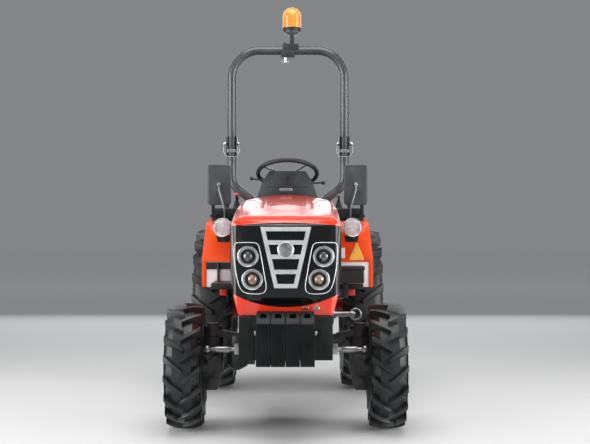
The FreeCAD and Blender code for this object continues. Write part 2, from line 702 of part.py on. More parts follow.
def hood_hinges():
    """Two gooseneck lugs inside the back of the hood, round the hinge pin."""
    lugs = []
    y, z = hood_hinge_y, hood_hinge_z
    for s in (-1, 1):
        x = s * hood_arm_x
        arm = prism_x([(y - 70, z + 4), (y, z - 12), (y + 4, z + 4), (y - 6, z + 30), (y - 70, z + 30)], x - 8, x + 8)
        eye = rod((x - 8, y, z), (x + 8, y, z), hood_pin_r + 6)
        hole = rod((x - 20, y, z), (x + 20, y, z), hood_pin_r + running_gap)
        lugs.append(arm.fuse(eye).cut(hole).common(hood_envelope(1)))
    return lugs


# ---------------------------------------------------------------- operator's station
def console():
    """Bulkhead behind the hood with the hinge pins, the instrument cowl and the column foot."""
    f, base = bulkhead_y, gear_top + seat_gap
    y, z = hood_hinge_y, hood_hinge_z
    top = hood_back_top - 18
    step = floor_z + seat_gap
    wall = prism_y([(-148, base), (148, base), (148, step), (190, step), (205, top - 150), (172, top), (-172, top),
                    (-205, top - 150), (-190, step), (-148, step)], f, f + 40)
    cowl = Part.makeLoft([cowl_section(top, 172, f, f + 176), cowl_section(cowl_top - 62, 142, f + 6, f + 104),
                          cowl_section(cowl_top, 103, f + 18, f + 62)], True, True)
    foot = prism_y([(-90, base), (90, base), (150, top), (-150, top)], f + 20, f + 150)
    ears = []
    for s in (-1, 1):
        for dx in (-22.0, 11.0):
            x = s * hood_arm_x + dx
            ears.append(prism_x([(y - 14, z - 14), (f + 10, z - 60), (f + 10, z - 12), (y + 20, z - 2),
                                 (y + 8, z + 13), (y - 14, z + 13)], x, x + 11))
        ears.append(rod((s * hood_arm_x - 22, y, z), (s * hood_arm_x + 22, y, z), hood_pin_r))
    return fused(wall, cowl, foot, *ears)


def cowl_section(z, half, y0, y1):
    """A rounded slab outline: bowed towards the hood, flat towards the driver."""
    edges = [Part.Arc(V(-half, y0 + 34, z), V(0, y0, z), V(half, y0 + 34, z)).toShape(),
             Part.LineSegment(V(half, y0 + 34, z), V(half, y1, z)).toShape(),
             Part.LineSegment(V(half, y1, z), V(-half, y1, z)).toShape(),
             Part.LineSegment(V(-half, y1, z), V(-half, y0 + 34, z)).toShape()]
    return Part.Wire(edges)


def column_axis():
    a = math.radians(column_tilt)
    return V(0, math.sin(a), math.cos(a))


def steering_column():
    """Tilted shroud with its shaft and the two short levers below the wheel."""
    axis = column_axis()
    top = wheel_centre - axis * (34 + wheel_dish)
    foot = wheel_centre - axis * (116 + wheel_dish)
    shroud = Part.makeCone(40, 26, (top - foot).Length, foot, axis)
    shaft = rod(top - axis * 2, top + axis * 30, column_shaft_r)
    stalks = []
    for s, rise in ((-1, 26.0), (1, 2.0)):
        root = top - axis * 20
        end = wheel_centre - axis * 62 + V(s * 205, -18, rise)
        stalks += [rod(root, end, 5), Part.makeSphere(11, end)]
    return fused(shroud, shaft, *stalks).cut(console())


def steering_wheel():
    """Rim on three spokes that fall to a low hub, built flat and then tilted onto the column."""
    reach = steering_wheel_r - rim_tube_r
    parts = [Part.makeTorus(reach, rim_tube_r), Part.makeCylinder(34, 38, V(0, 0, -30 - wheel_dish))]
    for degrees in (84, 215, 313):
        a = math.radians(degrees)
        out = V(math.cos(a), math.sin(a), 0)
        parts.append(rod(out * 12 - V(0, 0, wheel_dish), out * reach, 8))
    bore = Part.makeCylinder(column_shaft_r + running_gap, 34, V(0, 0, -34 - wheel_dish))
    made = fused(*parts).cut(bore)
    made.rotate(V(0, 0, 0), V(1, 0, 0), -column_tilt)
    return made.translate(wheel_centre)


def floor_plates():
    """A footboard on each side of the gearbox, with a turned-down lip and sloping carriers."""
    front, back = floor_front_y, fender_front_y + 60 + sheet
    inner = 152.0
    wall = fender_inner_x - seat_gap
    board = prism_z([(inner, front), (floor_half, front), (floor_half, fender_front_y - seat_gap),
                     (wall, fender_front_y - seat_gap), (wall, back), (inner, back)], floor_z - 5, floor_z)
    lip = box(floor_half - 6, floor_half, front, fender_front_y - 10, floor_z - 32, floor_z)
    front_lip = box(inner, floor_half, front, front + 6, floor_z - 32, floor_z)
    parts = [board, lip, front_lip]
    shelf = gear_top - 40
    for y in (front + 70, back - 60):
        parts.append(prism_y([(gear_side, shelf - 34), (gear_side, shelf), (inner + 30, floor_z - 5),
                              (wall - 10, floor_z - 5), (wall - 30, floor_z - 26), (inner + 50, floor_z - 30)],
                             y, y + 40))
    return both(fused(*parts))


def fender_outline(t, bottom_front, bottom_back):
    """Side view of the fender moved in by t, as a face on the plane x = 0."""
    f, b, top = fender_front_y + t, fender_back_y - t, fender_top - t
    r1, r2 = 150.0 - t, 260.0 - t
    k = 0.2929
    edges = [Part.LineSegment(V(0, f, bottom_front), V(0, f, top - r1)).toShape(),
             Part.Arc(V(0, f, top - r1), V(0, f + r1 * k, top - r1 * k), V(0, f + r1, top)).toShape(),
             Part.LineSegment(V(0, f + r1, top), V(0, b - r2, top)).toShape(),
             Part.Arc(V(0, b - r2, top), V(0, b - r2 * k, top - r2 * k), V(0, b, top - r2)).toShape(),
             Part.LineSegment(V(0, b, top - r2), V(0, b, bottom_back)).toShape(),
             Part.LineSegment(V(0, b, bottom_back), V(0, f, bottom_front)).toShape()]
    return Part.Face(Part.Wire(edges))


def fender_front(t):
    """Front view of the fender moved in by t: upright inside, leaning in and rounded at the outer top."""
    inner, outer, top = fender_inner_x + t, fender_outer_x - t, fender_top - t
    edges = [Part.LineSegment(V(inner, 0, 200), V(outer, 0, 200)).toShape(),
             Part.LineSegment(V(outer, 0, 200), V(outer, 0, top - 250)).toShape(),
             Part.LineSegment(V(outer, 0, top - 250), V(outer - 20, 0, top - 80)).toShape(),
             Part.Arc(V(outer - 20, 0, top - 80), V(outer - 34, 0, top - 26), V(outer - 82, 0, top)).toShape(),
             Part.LineSegment(V(outer - 82, 0, top), V(inner, 0, top)).toShape(),
             Part.LineSegment(V(inner, 0, top), V(inner, 0, 200)).toShape()]
    length = fender_back_y - fender_front_y + 200
    return Part.Face(Part.Wire(edges)).extrude(V(0, length, 0)).translate(V(0, fender_front_y - 100, 0))


def fender_room():
    """The space that a bracket on the left fender keeps out of."""
    return fender_outline(-seat_gap, 300, 300).extrude(V(600, 0, 0))


def fender():
    """One pressed fender, with an inner wall, a rolled outer lip and a front panel cut short."""
    reach = V(fender_outer_x, 0, 0)
    low = fender_strip_z
    outer = fender_outline(0, low, low + 60).extrude(reach).common(fender_front(0))
    room = fender_outline(sheet, low - 300, low - 300).extrude(reach).common(fender_front(sheet))
    lip = fender_outline(26, low - 300, low - 300).extrude(V(60, 0, 0)).translate(V(fender_outer_x - 32, 0, 0))
    window = box(fender_inner_x + sheet, fender_outer_x - 24, fender_front_y - 5, fender_front_y + sheet + 2,
                 low - 10, fender_panel_z)
    return outer.cut(room).cut(lip).cut(window)


def fender_plates():
    """Pale plate that closes each fender's front below its panel."""
    f = fender_front_y
    gap = seat_gap
    plate_back = f + sheet + 2 - gap
    one = box(fender_inner_x + sheet + gap, fender_outer_x - 24 - gap, plate_back - 4, plate_back, fender_strip_z,
              fender_panel_z - gap)
    notch = box(fender_inner_x - 10, floor_half + gap, f - 50, f + 50, floor_z - 32 - gap, floor_z + gap)
    low = box(fender_inner_x - 10, floor_half + gap, f - 50, f + 50, 0, floor_z - 32)
    return both(one.cut(notch).cut(low))


def side_consoles():
    """Lever consoles on the fenders' inner tops."""
    y0, y1 = fender_front_y + 60, fender_front_y + 330
    body = rounded_box(fender_inner_x + 6, fender_outer_x - 50, y0, y1, fender_top - 40, fender_top + 45, 10)
    return both(body.cut(fender_room()))


def seat_deck():
    """Deck between the fenders, over the gearbox, with the seat's riser."""
    a, b = fender_inner_x - seat_gap, fender_front_y + 60
    c = rockshaft_y - 110
    deck = box(-a, a, b, c, deck_z, deck_z + sheet)
    front = box(-a, a, b, b + sheet, floor_z + seat_gap, deck_z)
    riser = prism_x([(b + 70, deck_z), (b + 90, seat_z), (c - 90, seat_z), (c - 60, deck_z)], -130, 130)
    legs = box(-100, 100, c - 60, c - 10, lift_base_z - 22 + seat_gap, deck_z)
    return fused(deck, front, riser, legs)


def seat_cushion():
    y0, y1 = fender_front_y + 110, rear_axle_y - 100
    return rounded_box(-200, 200, y0, y1, seat_z + seat_gap, cushion_top, 28)


def seat_back():
    """Leaning backrest that stands on the rear of the cushion."""
    y = rear_axle_y - 170
    foot = cushion_top + seat_gap
    body = prism_x([(y, foot), (y + 40, foot), (y + 56, foot + 14), (y + 96, back_top), (y + 26, back_top)],
                   -186, 186)
    body = body.makeFillet(60, [e for e in body.Edges if e.BoundBox.ZMin > back_top - 3 and e.BoundBox.YLength > 50])
    return body.makeFillet(16, [e for e in body.Edges if e.BoundBox.ZMin > foot + 15])


def levers():
    """Hand levers on the side consoles and the deck, each with a knob and a boot."""
    made = []
    for x, y, z0, z1, lean, r in lever_places():
        stem = rod((x, y, z0 + 3), (x, y + lean, z1), 6)
        knob = Part.makeSphere(r, V(x, y + lean, z1))
        boot = Part.makeCone(22, 10, 44, V(x, y, z0), V(0, 0, 1))
        made.append(fused(stem, knob, boot))
    return Part.makeCompound(made)


def lever_places():
    """Foot, top, lean and knob size of each lever."""
    pad = fender_top + 45 + seat_gap
    deck = deck_z + sheet + seat_gap
    x, y = fender_inner_x + 14, fender_front_y + 110
    return [(-x, y, pad, pad + 76, -14.0, 13.0), (x, y, pad, pad + 70, -14.0, 13.0),
            (-x, y + 90, pad, pad + 60, 0.0, 11.0), (-240.0, y + 60, deck, deck + 210, -10.0, 13.0)]


def pedals():
    """Two brake pedals on the right and the clutch pedal on the left, each with its arm."""
    made = []
    for x in (-278.0, -232.0, 250.0):
        y = hood_back_y + 56
        pad = box(x - 20, x + 20, y, y + 12, floor_z + 60, floor_z + 110)
        arm = bent_tube([(x, y + 6, floor_z + 85), (x, y + 40, floor_z + 60), (x, y + 40, floor_z + seat_gap)], [20], 8)
        made.append(fused(pad, arm))
    return Part.makeCompound(made)


def tool_box():
    """Lidded box beside the clutch housing, on a bent bracket from the bell."""
    x0, x1 = 286.0, 414.0
    y0, y1 = front_axle_y + 500, front_axle_y + 640
    z = 690.0
    case = rounded_box(x0, x1, y0, y1, z, z + 72, 6)
    lid = rounded_box(x0 - 4, x1 + 4, y0 - 4, y1 + 4, z + 68, z + 90, 6)
    low = gear_top - 30
    arm = box(150, x0 + 44, y0 + 20, y0 + 50, low, low + 10)
    upright = box(x0 + 14, x0 + 44, y0 + 20, y0 + 50, low, z + 4)
    return fused(case, lid, arm, upright)


def front_lamps():
    """Round lamps on the fenders' front corners, each on a bracket."""
    x, z = 370.0, fender_top - 67
    y = fender_front_y - 46
    shell = revolved_z([(0, 0), (32, 0), (53, 24), (53, 40), (48, 46), (0, 50)], V(0, 0, 0))
    shell.rotate(V(0, 0, 0), V(1, 0, 0), 90)
    shell.translate(V(x, y + 2, z))
    stem = box(x - 12, x + 12, y - 4, fender_front_y + 20, z - 60, z - 30)
    foot = box(x - 22, x + 22, fender_front_y - 8, fender_front_y + 30, z - 75, z - 20)
    return both(fused(shell, fused(stem, foot).cut(fender_room())))


def mirror(side):
    """Rectangular mirror on a bent stalk from the fender's front edge."""
    cx, cz = 392.0, fender_top + 178
    half_wide, half_high = 67.0, 117.0
    y = fender_front_y - 20
    head = box(cx - half_wide, cx + half_wide, y, y + 26, cz - half_high, cz + half_high)
    head = head.makeFillet(20, [e for e in head.Edges if abs(e.tangentAt(e.FirstParameter).y) > 0.99])
    head = head.makeFillet(8, [e for e in head.Edges if e.CenterOfMass.y < y + 1])
    ball = Part.makeSphere(13, V(cx, y - 6, cz))
    foot_z = fender_top - 16
    stalk = bent_tube([(cx, y - 6, cz), (cx, y - 22, cz - 30), (cx - 32, y - 22, cz - 140), (cx - 32, y + 8, foot_z)],
                      [16, 60], 5)
    foot = box(cx - 50, cx - 14, fender_front_y - 24, fender_front_y + 50, foot_z - 50, foot_z + 4)
    post = box(cx + 24, cx + 44, y + 4, y + 22, foot_z + 20, cz - half_high + 6)
    shelf = box(cx + 16, cx + 52, y + 4, fender_front_y + 50, foot_z + 6, foot_z + 22)
    made = fused(head, ball, stalk, foot.cut(fender_room()), post, shelf.cut(fender_room()))
    return made if side > 0 else mirrored(made)


def grab_rails():
    """A bent tube on each fender's top."""
    x, z = fender_outer_x - 110, fender_top + seat_gap
    y0, y1 = fender_front_y + 380, fender_front_y + 680
    tube = bent_tube([(x, y0, z), (x, y0, z + 90), (x, y1, z + 90), (x, y1, z)], [35, 35], 9)
    return both(tube)


def tail_lamps():
    """Red and amber lamp boxes low on the fenders' back faces."""
    y, z = fender_back_y + seat_gap, fender_strip_z + 85
    return both(rounded_box(330, 440, y, y + 38, z, z + 65, 6))


# ---------------------------------------------------------------- roll bar
def bar_posts():
    """Two lower posts that lean in to feet on the rear axle, with hinge cheeks at the top."""
    y, r = bar_y, bar_tube_r
    tube = bent_tube([(bar_half, y, bar_hinge_z - 52), (bar_half, y, bar_bend_z),
                      (bar_foot_x, y, bar_bend_z - bar_lean_drop), (bar_foot_x, y, bar_foot_z + 14)], [120, 100], r)
    foot = box(bar_foot_x - 60, bar_foot_x + 32, rear_axle_y - 40, bar_y + 50, bar_foot_z + seat_gap, bar_foot_z + 16)
    cheeks = []
    for s in (-1, 1):
        x = bar_half + s * (r + 3.5)
        cheek = box(x - 3, x + 3, y - 30, y + 30, bar_hinge_z - 80, bar_hinge_z + 44)
        cheeks.append(cheek.cut(rod((x - 9, y, bar_hinge_z), (x + 9, y, bar_hinge_z), bar_pin_r + running_gap)))
        cheeks.append(rod((bar_half + s * 20, y, bar_hinge_z - 64), (bar_half + s * (r + 5), y, bar_hinge_z - 64), 9))
    return both(fused(tube, foot, *cheeks))


def bar_hoop():
    """Upper hoop with its two hinge pins and the pins' heads."""
    y, r, z = bar_y, bar_tube_r, bar_hinge_z
    low = z - 34
    hoop = bent_tube([(-bar_half, y, low), (-bar_half, y, bar_top), (bar_half, y, bar_top), (bar_half, y, low)],
                     [bar_corner_r, bar_corner_r], r)
    pins = []
    for s in (-1, 1):
        c, cheek = s * bar_half, s * (r + 7)
        pins.append(rod((c - cheek - s * 11, y, z), (c + cheek + s * 18, y, z), bar_pin_r))
        pins.append(rod((c + cheek, y, z), (c + cheek + s * 13, y, z), bar_pin_r + 6))
        pins.append(rod((c - cheek, y, z), (c - cheek - s * 8, y, z), bar_pin_r + 5))
    return fused(hoop, *pins)


def beacon_mount():
    """Clamp round the top tube with the beacon's stem and base."""
    y, z, x = bar_y, bar_top, beacon_x
    r = bar_tube_r
    upper = box(x - 58, x + 42, y - 32, y + 32, z + 4, z + r + 12)
    lower = box(x - 70, x + 18, y - 30, y + 30, z - r - 14, z - 4)
    tube = rod((-200, y, z), (200, y, z), r + seat_gap)
    stem = rod((x, y, z + r + 8), (x, y, beacon_base_z + 4), 14)
    base = revolved_z([(0, 0), (26, 0), (beacon_r - 4, 18), (beacon_r, 47), (0, 47)], V(x, y, beacon_base_z))
    bolt = rod((x - 42, y, z - r - 44), (x - 42, y, z - r - 12), 9)
    wing = box(x - 66, x - 18, y - 6, y + 6, z - r - 46, z - r - 32)
    grip = fused(upper, lower).cut(tube)
    screws = [rod((x + dx, y + dy, z - 30), (x + dx, y + dy, z + r + 20), 6)
              for dx, dy in ((-44, -26), (6, -26), (-44, 26))]
    return fused(grip, stem, base, bolt, wing, *[k.cut(tube) for k in screws])


def beacon_lens():
    r = beacon_r - 1
    z = beacon_base_z + 47 + seat_gap
    body = Part.makeCylinder(r, 71, V(beacon_x, bar_y, z))
    dome = Part.makeSphere(r, V(beacon_x, bar_y, z + 71))
    return body.fuse(dome.common(Part.makeCylinder(r + 5, r + 5, V(beacon_x, bar_y, z + 71)))).removeSplitter()


# ---------------------------------------------------------------- rear linkage
def link_route(side):
    """The bends of a lower link's centre line, from its pin to its ball eye."""
    x, y, z = link_pin_x, link_pin_y, link_pin_z
    return [V(side * x, y, z), V(side * (x + 45), y + 200, z + 18), V(side * (x + 100), y + 560, z + 52),
            V(side * link_end_x, link_end_y, link_end_z)]


def on_link(side, y):
    """The point of a lower link's middle run at y."""
    a, b = link_route(side)[1:3]
    return a + (b - a) * ((y - a.y) / (b.y - a.y))


def lower_links():
    """Left and right lower links. Each has a bore for its pin and a ball eye at its end."""
    parts = []
    for s in (-1, 1):
        route = link_route(s)
        bars = [link_bar(p, q, 46) for p, q in zip(route, route[1:])]
        knees = [rod(p - V(0, 0, 23), p + V(0, 0, 23), 7) for p in route[1:3]]
        a, b = route[0], route[-1]
        half = eye_width / 2
        eye = rod((b.x - half, b.y, b.z), (b.x + half, b.y, b.z), 27)
        inner = gear_half + 17
        pin_eye = rod((s * inner, a.y, a.z), (s * (link_pin_x + 14.5), a.y, a.z), 26)
        arm = fused(*bars, *knees, eye, pin_eye)
        arm = arm.cut(rod((b.x - 40, b.y, b.z), (b.x + 40, b.y, b.z), ball_bore_r))
        parts.append(arm.cut(rod((a.x - 40, a.y, a.z), (a.x + 40, a.y, a.z), link_pin_r + running_gap)))
    return Part.makeCompound(parts)


def link_bar(a, b, height):
    """A flat bar on edge between two points."""
    along = b - a
    side = V(along.y, -along.x, 0).normalize() * 7
    up = V(0, 0, height / 2)
    face = Part.Face(polygon([a - side - up, a + side - up, a + side + up, a - side + up]))
    return face.extrude(along)


def link_brackets():
    """Cheeks and pins on the rear axle's centre for the lower links."""
    y, z, x = link_pin_y, link_pin_z, link_pin_x
    cheek = box(gear_half, gear_half + 16, y - 40, y + 60, z - 34, rear_axle_z - axle_flange_r - 4)
    pin = rod((gear_half + 4, y, z), (x + 15, y, z), link_pin_r)
    washer = rod((x + 15, y, z), (x + 21, y, z), link_pin_r + 8)
    return both(fused(cheek, pin, washer))


def drawbar():
    """Drawbar fixed under the gearbox, with its pin hole."""
    y0, y1 = rear_axle_y - 160, rear_axle_y + 330
    z = gear_bottom
    bar = box(-30, 30, y0, y1, z - 46, z - 24)
    hanger = box(-75, 75, rear_axle_y + 90, rear_axle_y + 140, z - 58, z)
    front = box(-50, 50, y0, y0 + 60, z - 24, z)
    hole = rod((0, y1 - 35, 0), (0, y1 - 35, 900), 11)
    return fused(bar, hanger, front).cut(hole)


def lift_arms():
    """Rockshaft with its two lift arms."""
    end = lift_arm_x + 12
    parts = [rod((-end, rockshaft_y, rockshaft_z), (end, rockshaft_y, rockshaft_z), rockshaft_r)]
    for s in (-1, 1):
        a = V(s * lift_arm_x, rockshaft_y, rockshaft_z)
        b = V(s * lift_arm_x, lift_arm_y, lift_arm_z)
        parts.append(link_bar(a, b, 44))
        parts.append(rod((a.x - 14, a.y, a.z), (a.x + 14, a.y, a.z), rockshaft_r + 14))
        parts.append(rod((b.x - 10, b.y, b.z), (b.x + 10, b.y, b.z), 23))
        parts.append(rod((b.x - 10, b.y, b.z), (b.x + s * 40, b.y, b.z), 10))
    return fused(*parts)


def rockshaft_case():
    """Hydraulic lift cover on top of the gearbox, with the rockshaft's bore and the top-link bracket."""
    y0, y1, z = rockshaft_y - 90, rockshaft_y + 80, lift_base_z
    case = prism_x([(y0, z), (y1, z), (y1, z + 110), (y1 - 50, z + 136), (y0 + 40, z + 136), (y0, z + 100)],
                   -110, 110)
    bore = rod((-200, rockshaft_y, rockshaft_z), (200, rockshaft_y, rockshaft_z), rockshaft_r + running_gap)
    cheeks = [box(x, x + 10, y1, top_link_y + 20, rockshaft_z - 30, rockshaft_z + 40) for x in (-36, 26)]
    pin = rod((-36, top_link_y, rockshaft_z), (36, top_link_y, rockshaft_z), 9)
    return fused(case.cut(bore), *cheeks, pin)


def top_link():
    """Turnbuckle top link on its bracket's pin."""
    a, b = V(0, top_link_y, rockshaft_z), V(0, rear_axle_y + 560, rockshaft_z - 60)
    tube = rod(a + (b - a) * 0.16, a + (b - a) * 0.8, 17)
    screw = rod(a + (b - a) * 0.04, a + (b - a) * 0.95, 10)
    front = rod((-21, a.y, a.z), (21, a.y, a.z), 22)
    back = rod((-22, b.y, b.z), (22, b.y, b.z), 24)
    made = fused(tube, screw, front, back)
    made = made.cut(rod((-30, a.y, a.z), (30, a.y, a.z), 9 + running_gap))
    return made.cut(rod((-30, b.y, b.z), (30, b.y, b.z), top_bore_r))


lift_rod_x = lift_arm_x + 32.0
lift_rod_foot_y = link_pin_y + 470.0


def lift_rods():
    """Two adjustable rods that hang from the lift arms, with their feet inside the lower links."""
    made = []
    for s in (-1, 1):
        top = V(s * lift_rod_x, lift_arm_y, lift_arm_z)
        foot = on_link(s, lift_rod_foot_y) - V(s * 32, 0, 0)
        body = rod(top + (foot - top) * 0.04, foot, 9)
        sleeve = rod(top + (foot - top) * 0.35, top + (foot - top) * 0.8, 15)
        eye = rod((top.x - 7, top.y, top.z), (top.x + 7, top.y, top.z), 20)
        toe = rod((foot.x - 9, foot.y, foot.z), (foot.x + 9, foot.y, foot.z), 18)
        one = fused(body, sleeve, eye, toe)
        made.append(one.cut(rod((top.x - 20, top.y, top.z), (top.x + 20, top.y, top.z), 10 + running_gap)))
    return Part.makeCompound(made)


def pto_shaft():
    """Power take-off stub behind the gearbox, under a bent guard."""
    y0, z = gear_rear_y, pto_z
    shaft = rod((0, y0, z), (0, y0 + 90, z), pto_r)
    collar = rod((0, y0, z), (0, y0 + 14, z), 40)
    guard = box(-90, 90, y0, y0 + 110, z + 80, z + 86)
    sides = [box(x, x + 6, y0, y0 + 110, z - 20, z + 86) for x in (-90, 84)]
    return Part.makeCompound([fused(shaft, collar), fused(guard, *sides)])


# ---------------------------------------------------------------- all nodes
def build():
    red, fascia, grille, lamps = hood_parts()
    nodes = {
        "front_frame": front_frame(), "front_weights": front_weights(), "front_axle": front_axle(),
        "steering_cylinder": steering_cylinder(), "tie_rods": tie_rods(),
        "knuckle_left": knuckle(1), "knuckle_right": knuckle(-1),
        "engine": engine(), "exhaust": exhaust(), "gearbox": gearbox(), "rear_axle": rear_axle(),
        "drive_shaft": drive_shaft(), "hood": red, "front_fascia": fascia, "grille_frame": grille,
        "head_lamps": lamps, "console": console(), "steering_column": steering_column(),
        "steering_wheel": steering_wheel(), "floor_plates": floor_plates(),
        "fender_left": fender(), "fender_right": mirrored(fender()), "fender_plates": fender_plates(), "side_consoles": side_consoles(),
        "seat_deck": seat_deck(), "seat_cushion": seat_cushion(), "seat_back": seat_back(),
        "levers": levers(), "pedals": pedals(), "tool_box": tool_box(), "front_lamps": front_lamps(),
        "mirror_left": mirror(1), "mirror_right": mirror(-1), "grab_rails": grab_rails(),
        "tail_lamps": tail_lamps(), "bar_posts": bar_posts(), "bar_hoop": bar_hoop(),
        "beacon_mount": beacon_mount(), "beacon_lens": beacon_lens(),
        "lower_links": lower_links(), "link_brackets": link_brackets(), "drawbar": drawbar(),
        "lift_arms": lift_arms(), "rockshaft_case": rockshaft_case(), "lift_rods": lift_rods(),
        "top_link": top_link(), "pto_shaft": pto_shaft(),
    }
    for name, side in (("left", 1), ("right", -1)):
        centre = front_wheel_centre(side)
        nodes["front_tyre_" + name] = tyre(front_tyre_od, front_tyre_width, front_rim_seat_r, front_rim_width,
                                           front_lug_pairs, front_lug_height, centre)
        nodes["front_rim_" + name] = rim(front_rim_seat_r, front_rim_width, 52.0, front_stub_r + running_gap,
                                         front_dish, front_boss, 5, side, centre)
        centre = rear_wheel_centre(side)
        nodes["rear_tyre_" + name] = tyre(rear_tyre_od, rear_tyre_width, rear_rim_seat_r, rear_rim_width,
                                          rear_lug_pairs, rear_lug_height, centre)
        nodes["rear_rim_" + name] = rim(rear_rim_seat_r, rear_rim_width, 76.0, rear_stub_r + running_gap,
                                        rear_dish, rear_boss, 6, side, centre)
    return nodes


os.makedirs("parts", exist_ok=True)
for name, shape in build().items():
    shape.exportStep("parts/" + name + ".step")
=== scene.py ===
"""Looks of a compact farm tractor, in metres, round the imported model: tyres, lamps, seat and fittings."""
import json
import math
import bmesh
import bpy
from mathutils import Matrix, Vector
from mathutils.bvhtree import BVHTree

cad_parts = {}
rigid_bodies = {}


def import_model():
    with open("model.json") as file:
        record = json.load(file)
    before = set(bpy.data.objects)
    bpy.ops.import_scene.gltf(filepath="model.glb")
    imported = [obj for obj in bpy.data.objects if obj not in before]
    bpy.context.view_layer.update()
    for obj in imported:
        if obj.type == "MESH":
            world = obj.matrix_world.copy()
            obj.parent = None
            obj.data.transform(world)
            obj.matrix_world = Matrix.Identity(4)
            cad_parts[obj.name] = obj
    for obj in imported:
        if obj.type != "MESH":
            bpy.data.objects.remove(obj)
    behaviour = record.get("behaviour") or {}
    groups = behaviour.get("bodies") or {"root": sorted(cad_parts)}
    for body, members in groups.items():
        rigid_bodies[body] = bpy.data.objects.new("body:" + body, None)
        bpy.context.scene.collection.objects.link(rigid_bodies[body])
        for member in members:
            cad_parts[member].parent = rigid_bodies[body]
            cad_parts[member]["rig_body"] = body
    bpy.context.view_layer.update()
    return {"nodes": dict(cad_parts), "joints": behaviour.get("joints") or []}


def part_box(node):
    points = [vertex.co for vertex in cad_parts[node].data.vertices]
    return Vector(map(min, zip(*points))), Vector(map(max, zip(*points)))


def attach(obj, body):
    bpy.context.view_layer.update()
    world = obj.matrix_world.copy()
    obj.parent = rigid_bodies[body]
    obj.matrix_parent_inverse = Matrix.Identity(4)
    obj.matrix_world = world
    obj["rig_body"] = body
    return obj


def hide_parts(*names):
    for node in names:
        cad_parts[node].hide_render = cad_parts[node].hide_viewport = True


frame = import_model()

# ---- tyres
# Bar-lug farm tyres, moulded of black rubber and seated on their rims. Two rows of curved bars run from the
# middle of each tread out over its shoulders, with a short rib between each two.


def added(tree, kind, **values):
    """A new shader node with some inputs set. An underscore in an input's name stands for a space."""
    made = tree.nodes.new("ShaderNode" + kind)
    for socket, value in values.items():
        made.inputs[socket.replace("_", " ")].default_value = value
    return made


def surface(name, tones, rough, scale=40.0, metal=0.0, coat=0.0, coat_rough=0.06, mirror=0.5, grain=None):
    """A finish with two tones and two roughnesses, mixed by clouds. grain is a relief's (depth, scale)."""
    made = bpy.data.materials.new(name)
    made.use_nodes = True
    tree = made.node_tree
    join = tree.links.new
    shader = tree.nodes["Principled BSDF"]
    for socket, value in (("Metallic", metal), ("Coat Weight", coat), ("Coat Roughness", coat_rough),
                          ("Specular IOR Level", mirror)):
        shader.inputs[socket].default_value = value
    place = added(tree, "TexCoord")
    clouds = added(tree, "TexNoise", Scale=scale, Detail=5.0)
    join(place.outputs["Object"], clouds.inputs["Vector"])
    spread = added(tree, "MapRange", From_Min=0.35, From_Max=0.65)
    join(clouds.outputs["Fac"], spread.inputs["Value"])
    tone = added(tree, "Mix")
    tone.data_type = "RGBA"
    tone.inputs["A"].default_value = (*tones[0], 1.0)
    tone.inputs["B"].default_value = (*tones[1], 1.0)
    join(spread.outputs["Result"], tone.inputs["Factor"])
    join(tone.outputs["Result"], shader.inputs["Base Color"])
    shine = added(tree, "MapRange", To_Min=rough[0], To_Max=rough[1])
    join(clouds.outputs["Fac"], shine.inputs["Value"])
    join(shine.outputs["Result"], shader.inputs["Roughness"])
    if grain:
        fine = added(tree, "TexNoise", Scale=grain[1], Detail=3.0)
        join(place.outputs["Object"], fine.inputs["Vector"])
        relief = added(tree, "Bump", Strength=0.6, Distance=grain[0])
        join(fine.outputs["Fac"], relief.inputs["Height"])
        join(relief.outputs["Normal"], shader.inputs["Normal"])
    return made


def piece(name, mesh, finish):
    made = bpy.data.objects.new(name, mesh)
    bpy.context.scene.collection.objects.link(made)
    made.data.materials.clear()
    made.data.materials.append(finish)
    return made


def smoothed(mesh, angle=35.0):
    mesh.shade_smooth()
    mesh.set_sharp_from_angle(angle=math.radians(angle))


def plain_mesh(made):
    """What shows of the object, with its modifiers or its curve's width worked out."""
    bpy.context.view_layer.update()
    return bpy.data.meshes.new_from_object(made.evaluated_get(bpy.context.evaluated_depsgraph_get()))


def settled(made, angle=35.0):
    """Turns the piece's live modifiers into one plain mesh, shaded smooth up to that angle."""
    mesh = plain_mesh(made)
    made.modifiers.clear()
    made.data = mesh
    smoothed(mesh, angle)
    return made


def from_shape(name, shape, finish, angle=35.0):
    """A piece from a bmesh, with its faces turned outwards."""
    bmesh.ops.remove_doubles(shape, verts=shape.verts, dist=1e-6)
    bmesh.ops.recalc_face_normals(shape, faces=shape.faces)
    mesh = bpy.data.meshes.new(name)
    shape.to_mesh(mesh)
    shape.free()
    smoothed(mesh, angle)
    return piece(name, mesh, finish)


def block(name, middle, size, finish, soft=0.0, steps=2, eased=None):
    """A box about its middle. All its edges, or those that pass a test, are rounded by soft."""
    shape = bmesh.new()
    bmesh.ops.create_cube(shape, size=1.0, matrix=Matrix.Translation(middle) @ Matrix.Diagonal((*size, 1)))
    if soft:
        edges = [edge for edge in shape.edges if eased is None or eased(edge)]
        bmesh.ops.bevel(shape, geom=edges, offset=soft, segments=steps, affect="EDGES", profile=0.5)
    return from_shape(name, shape, finish)


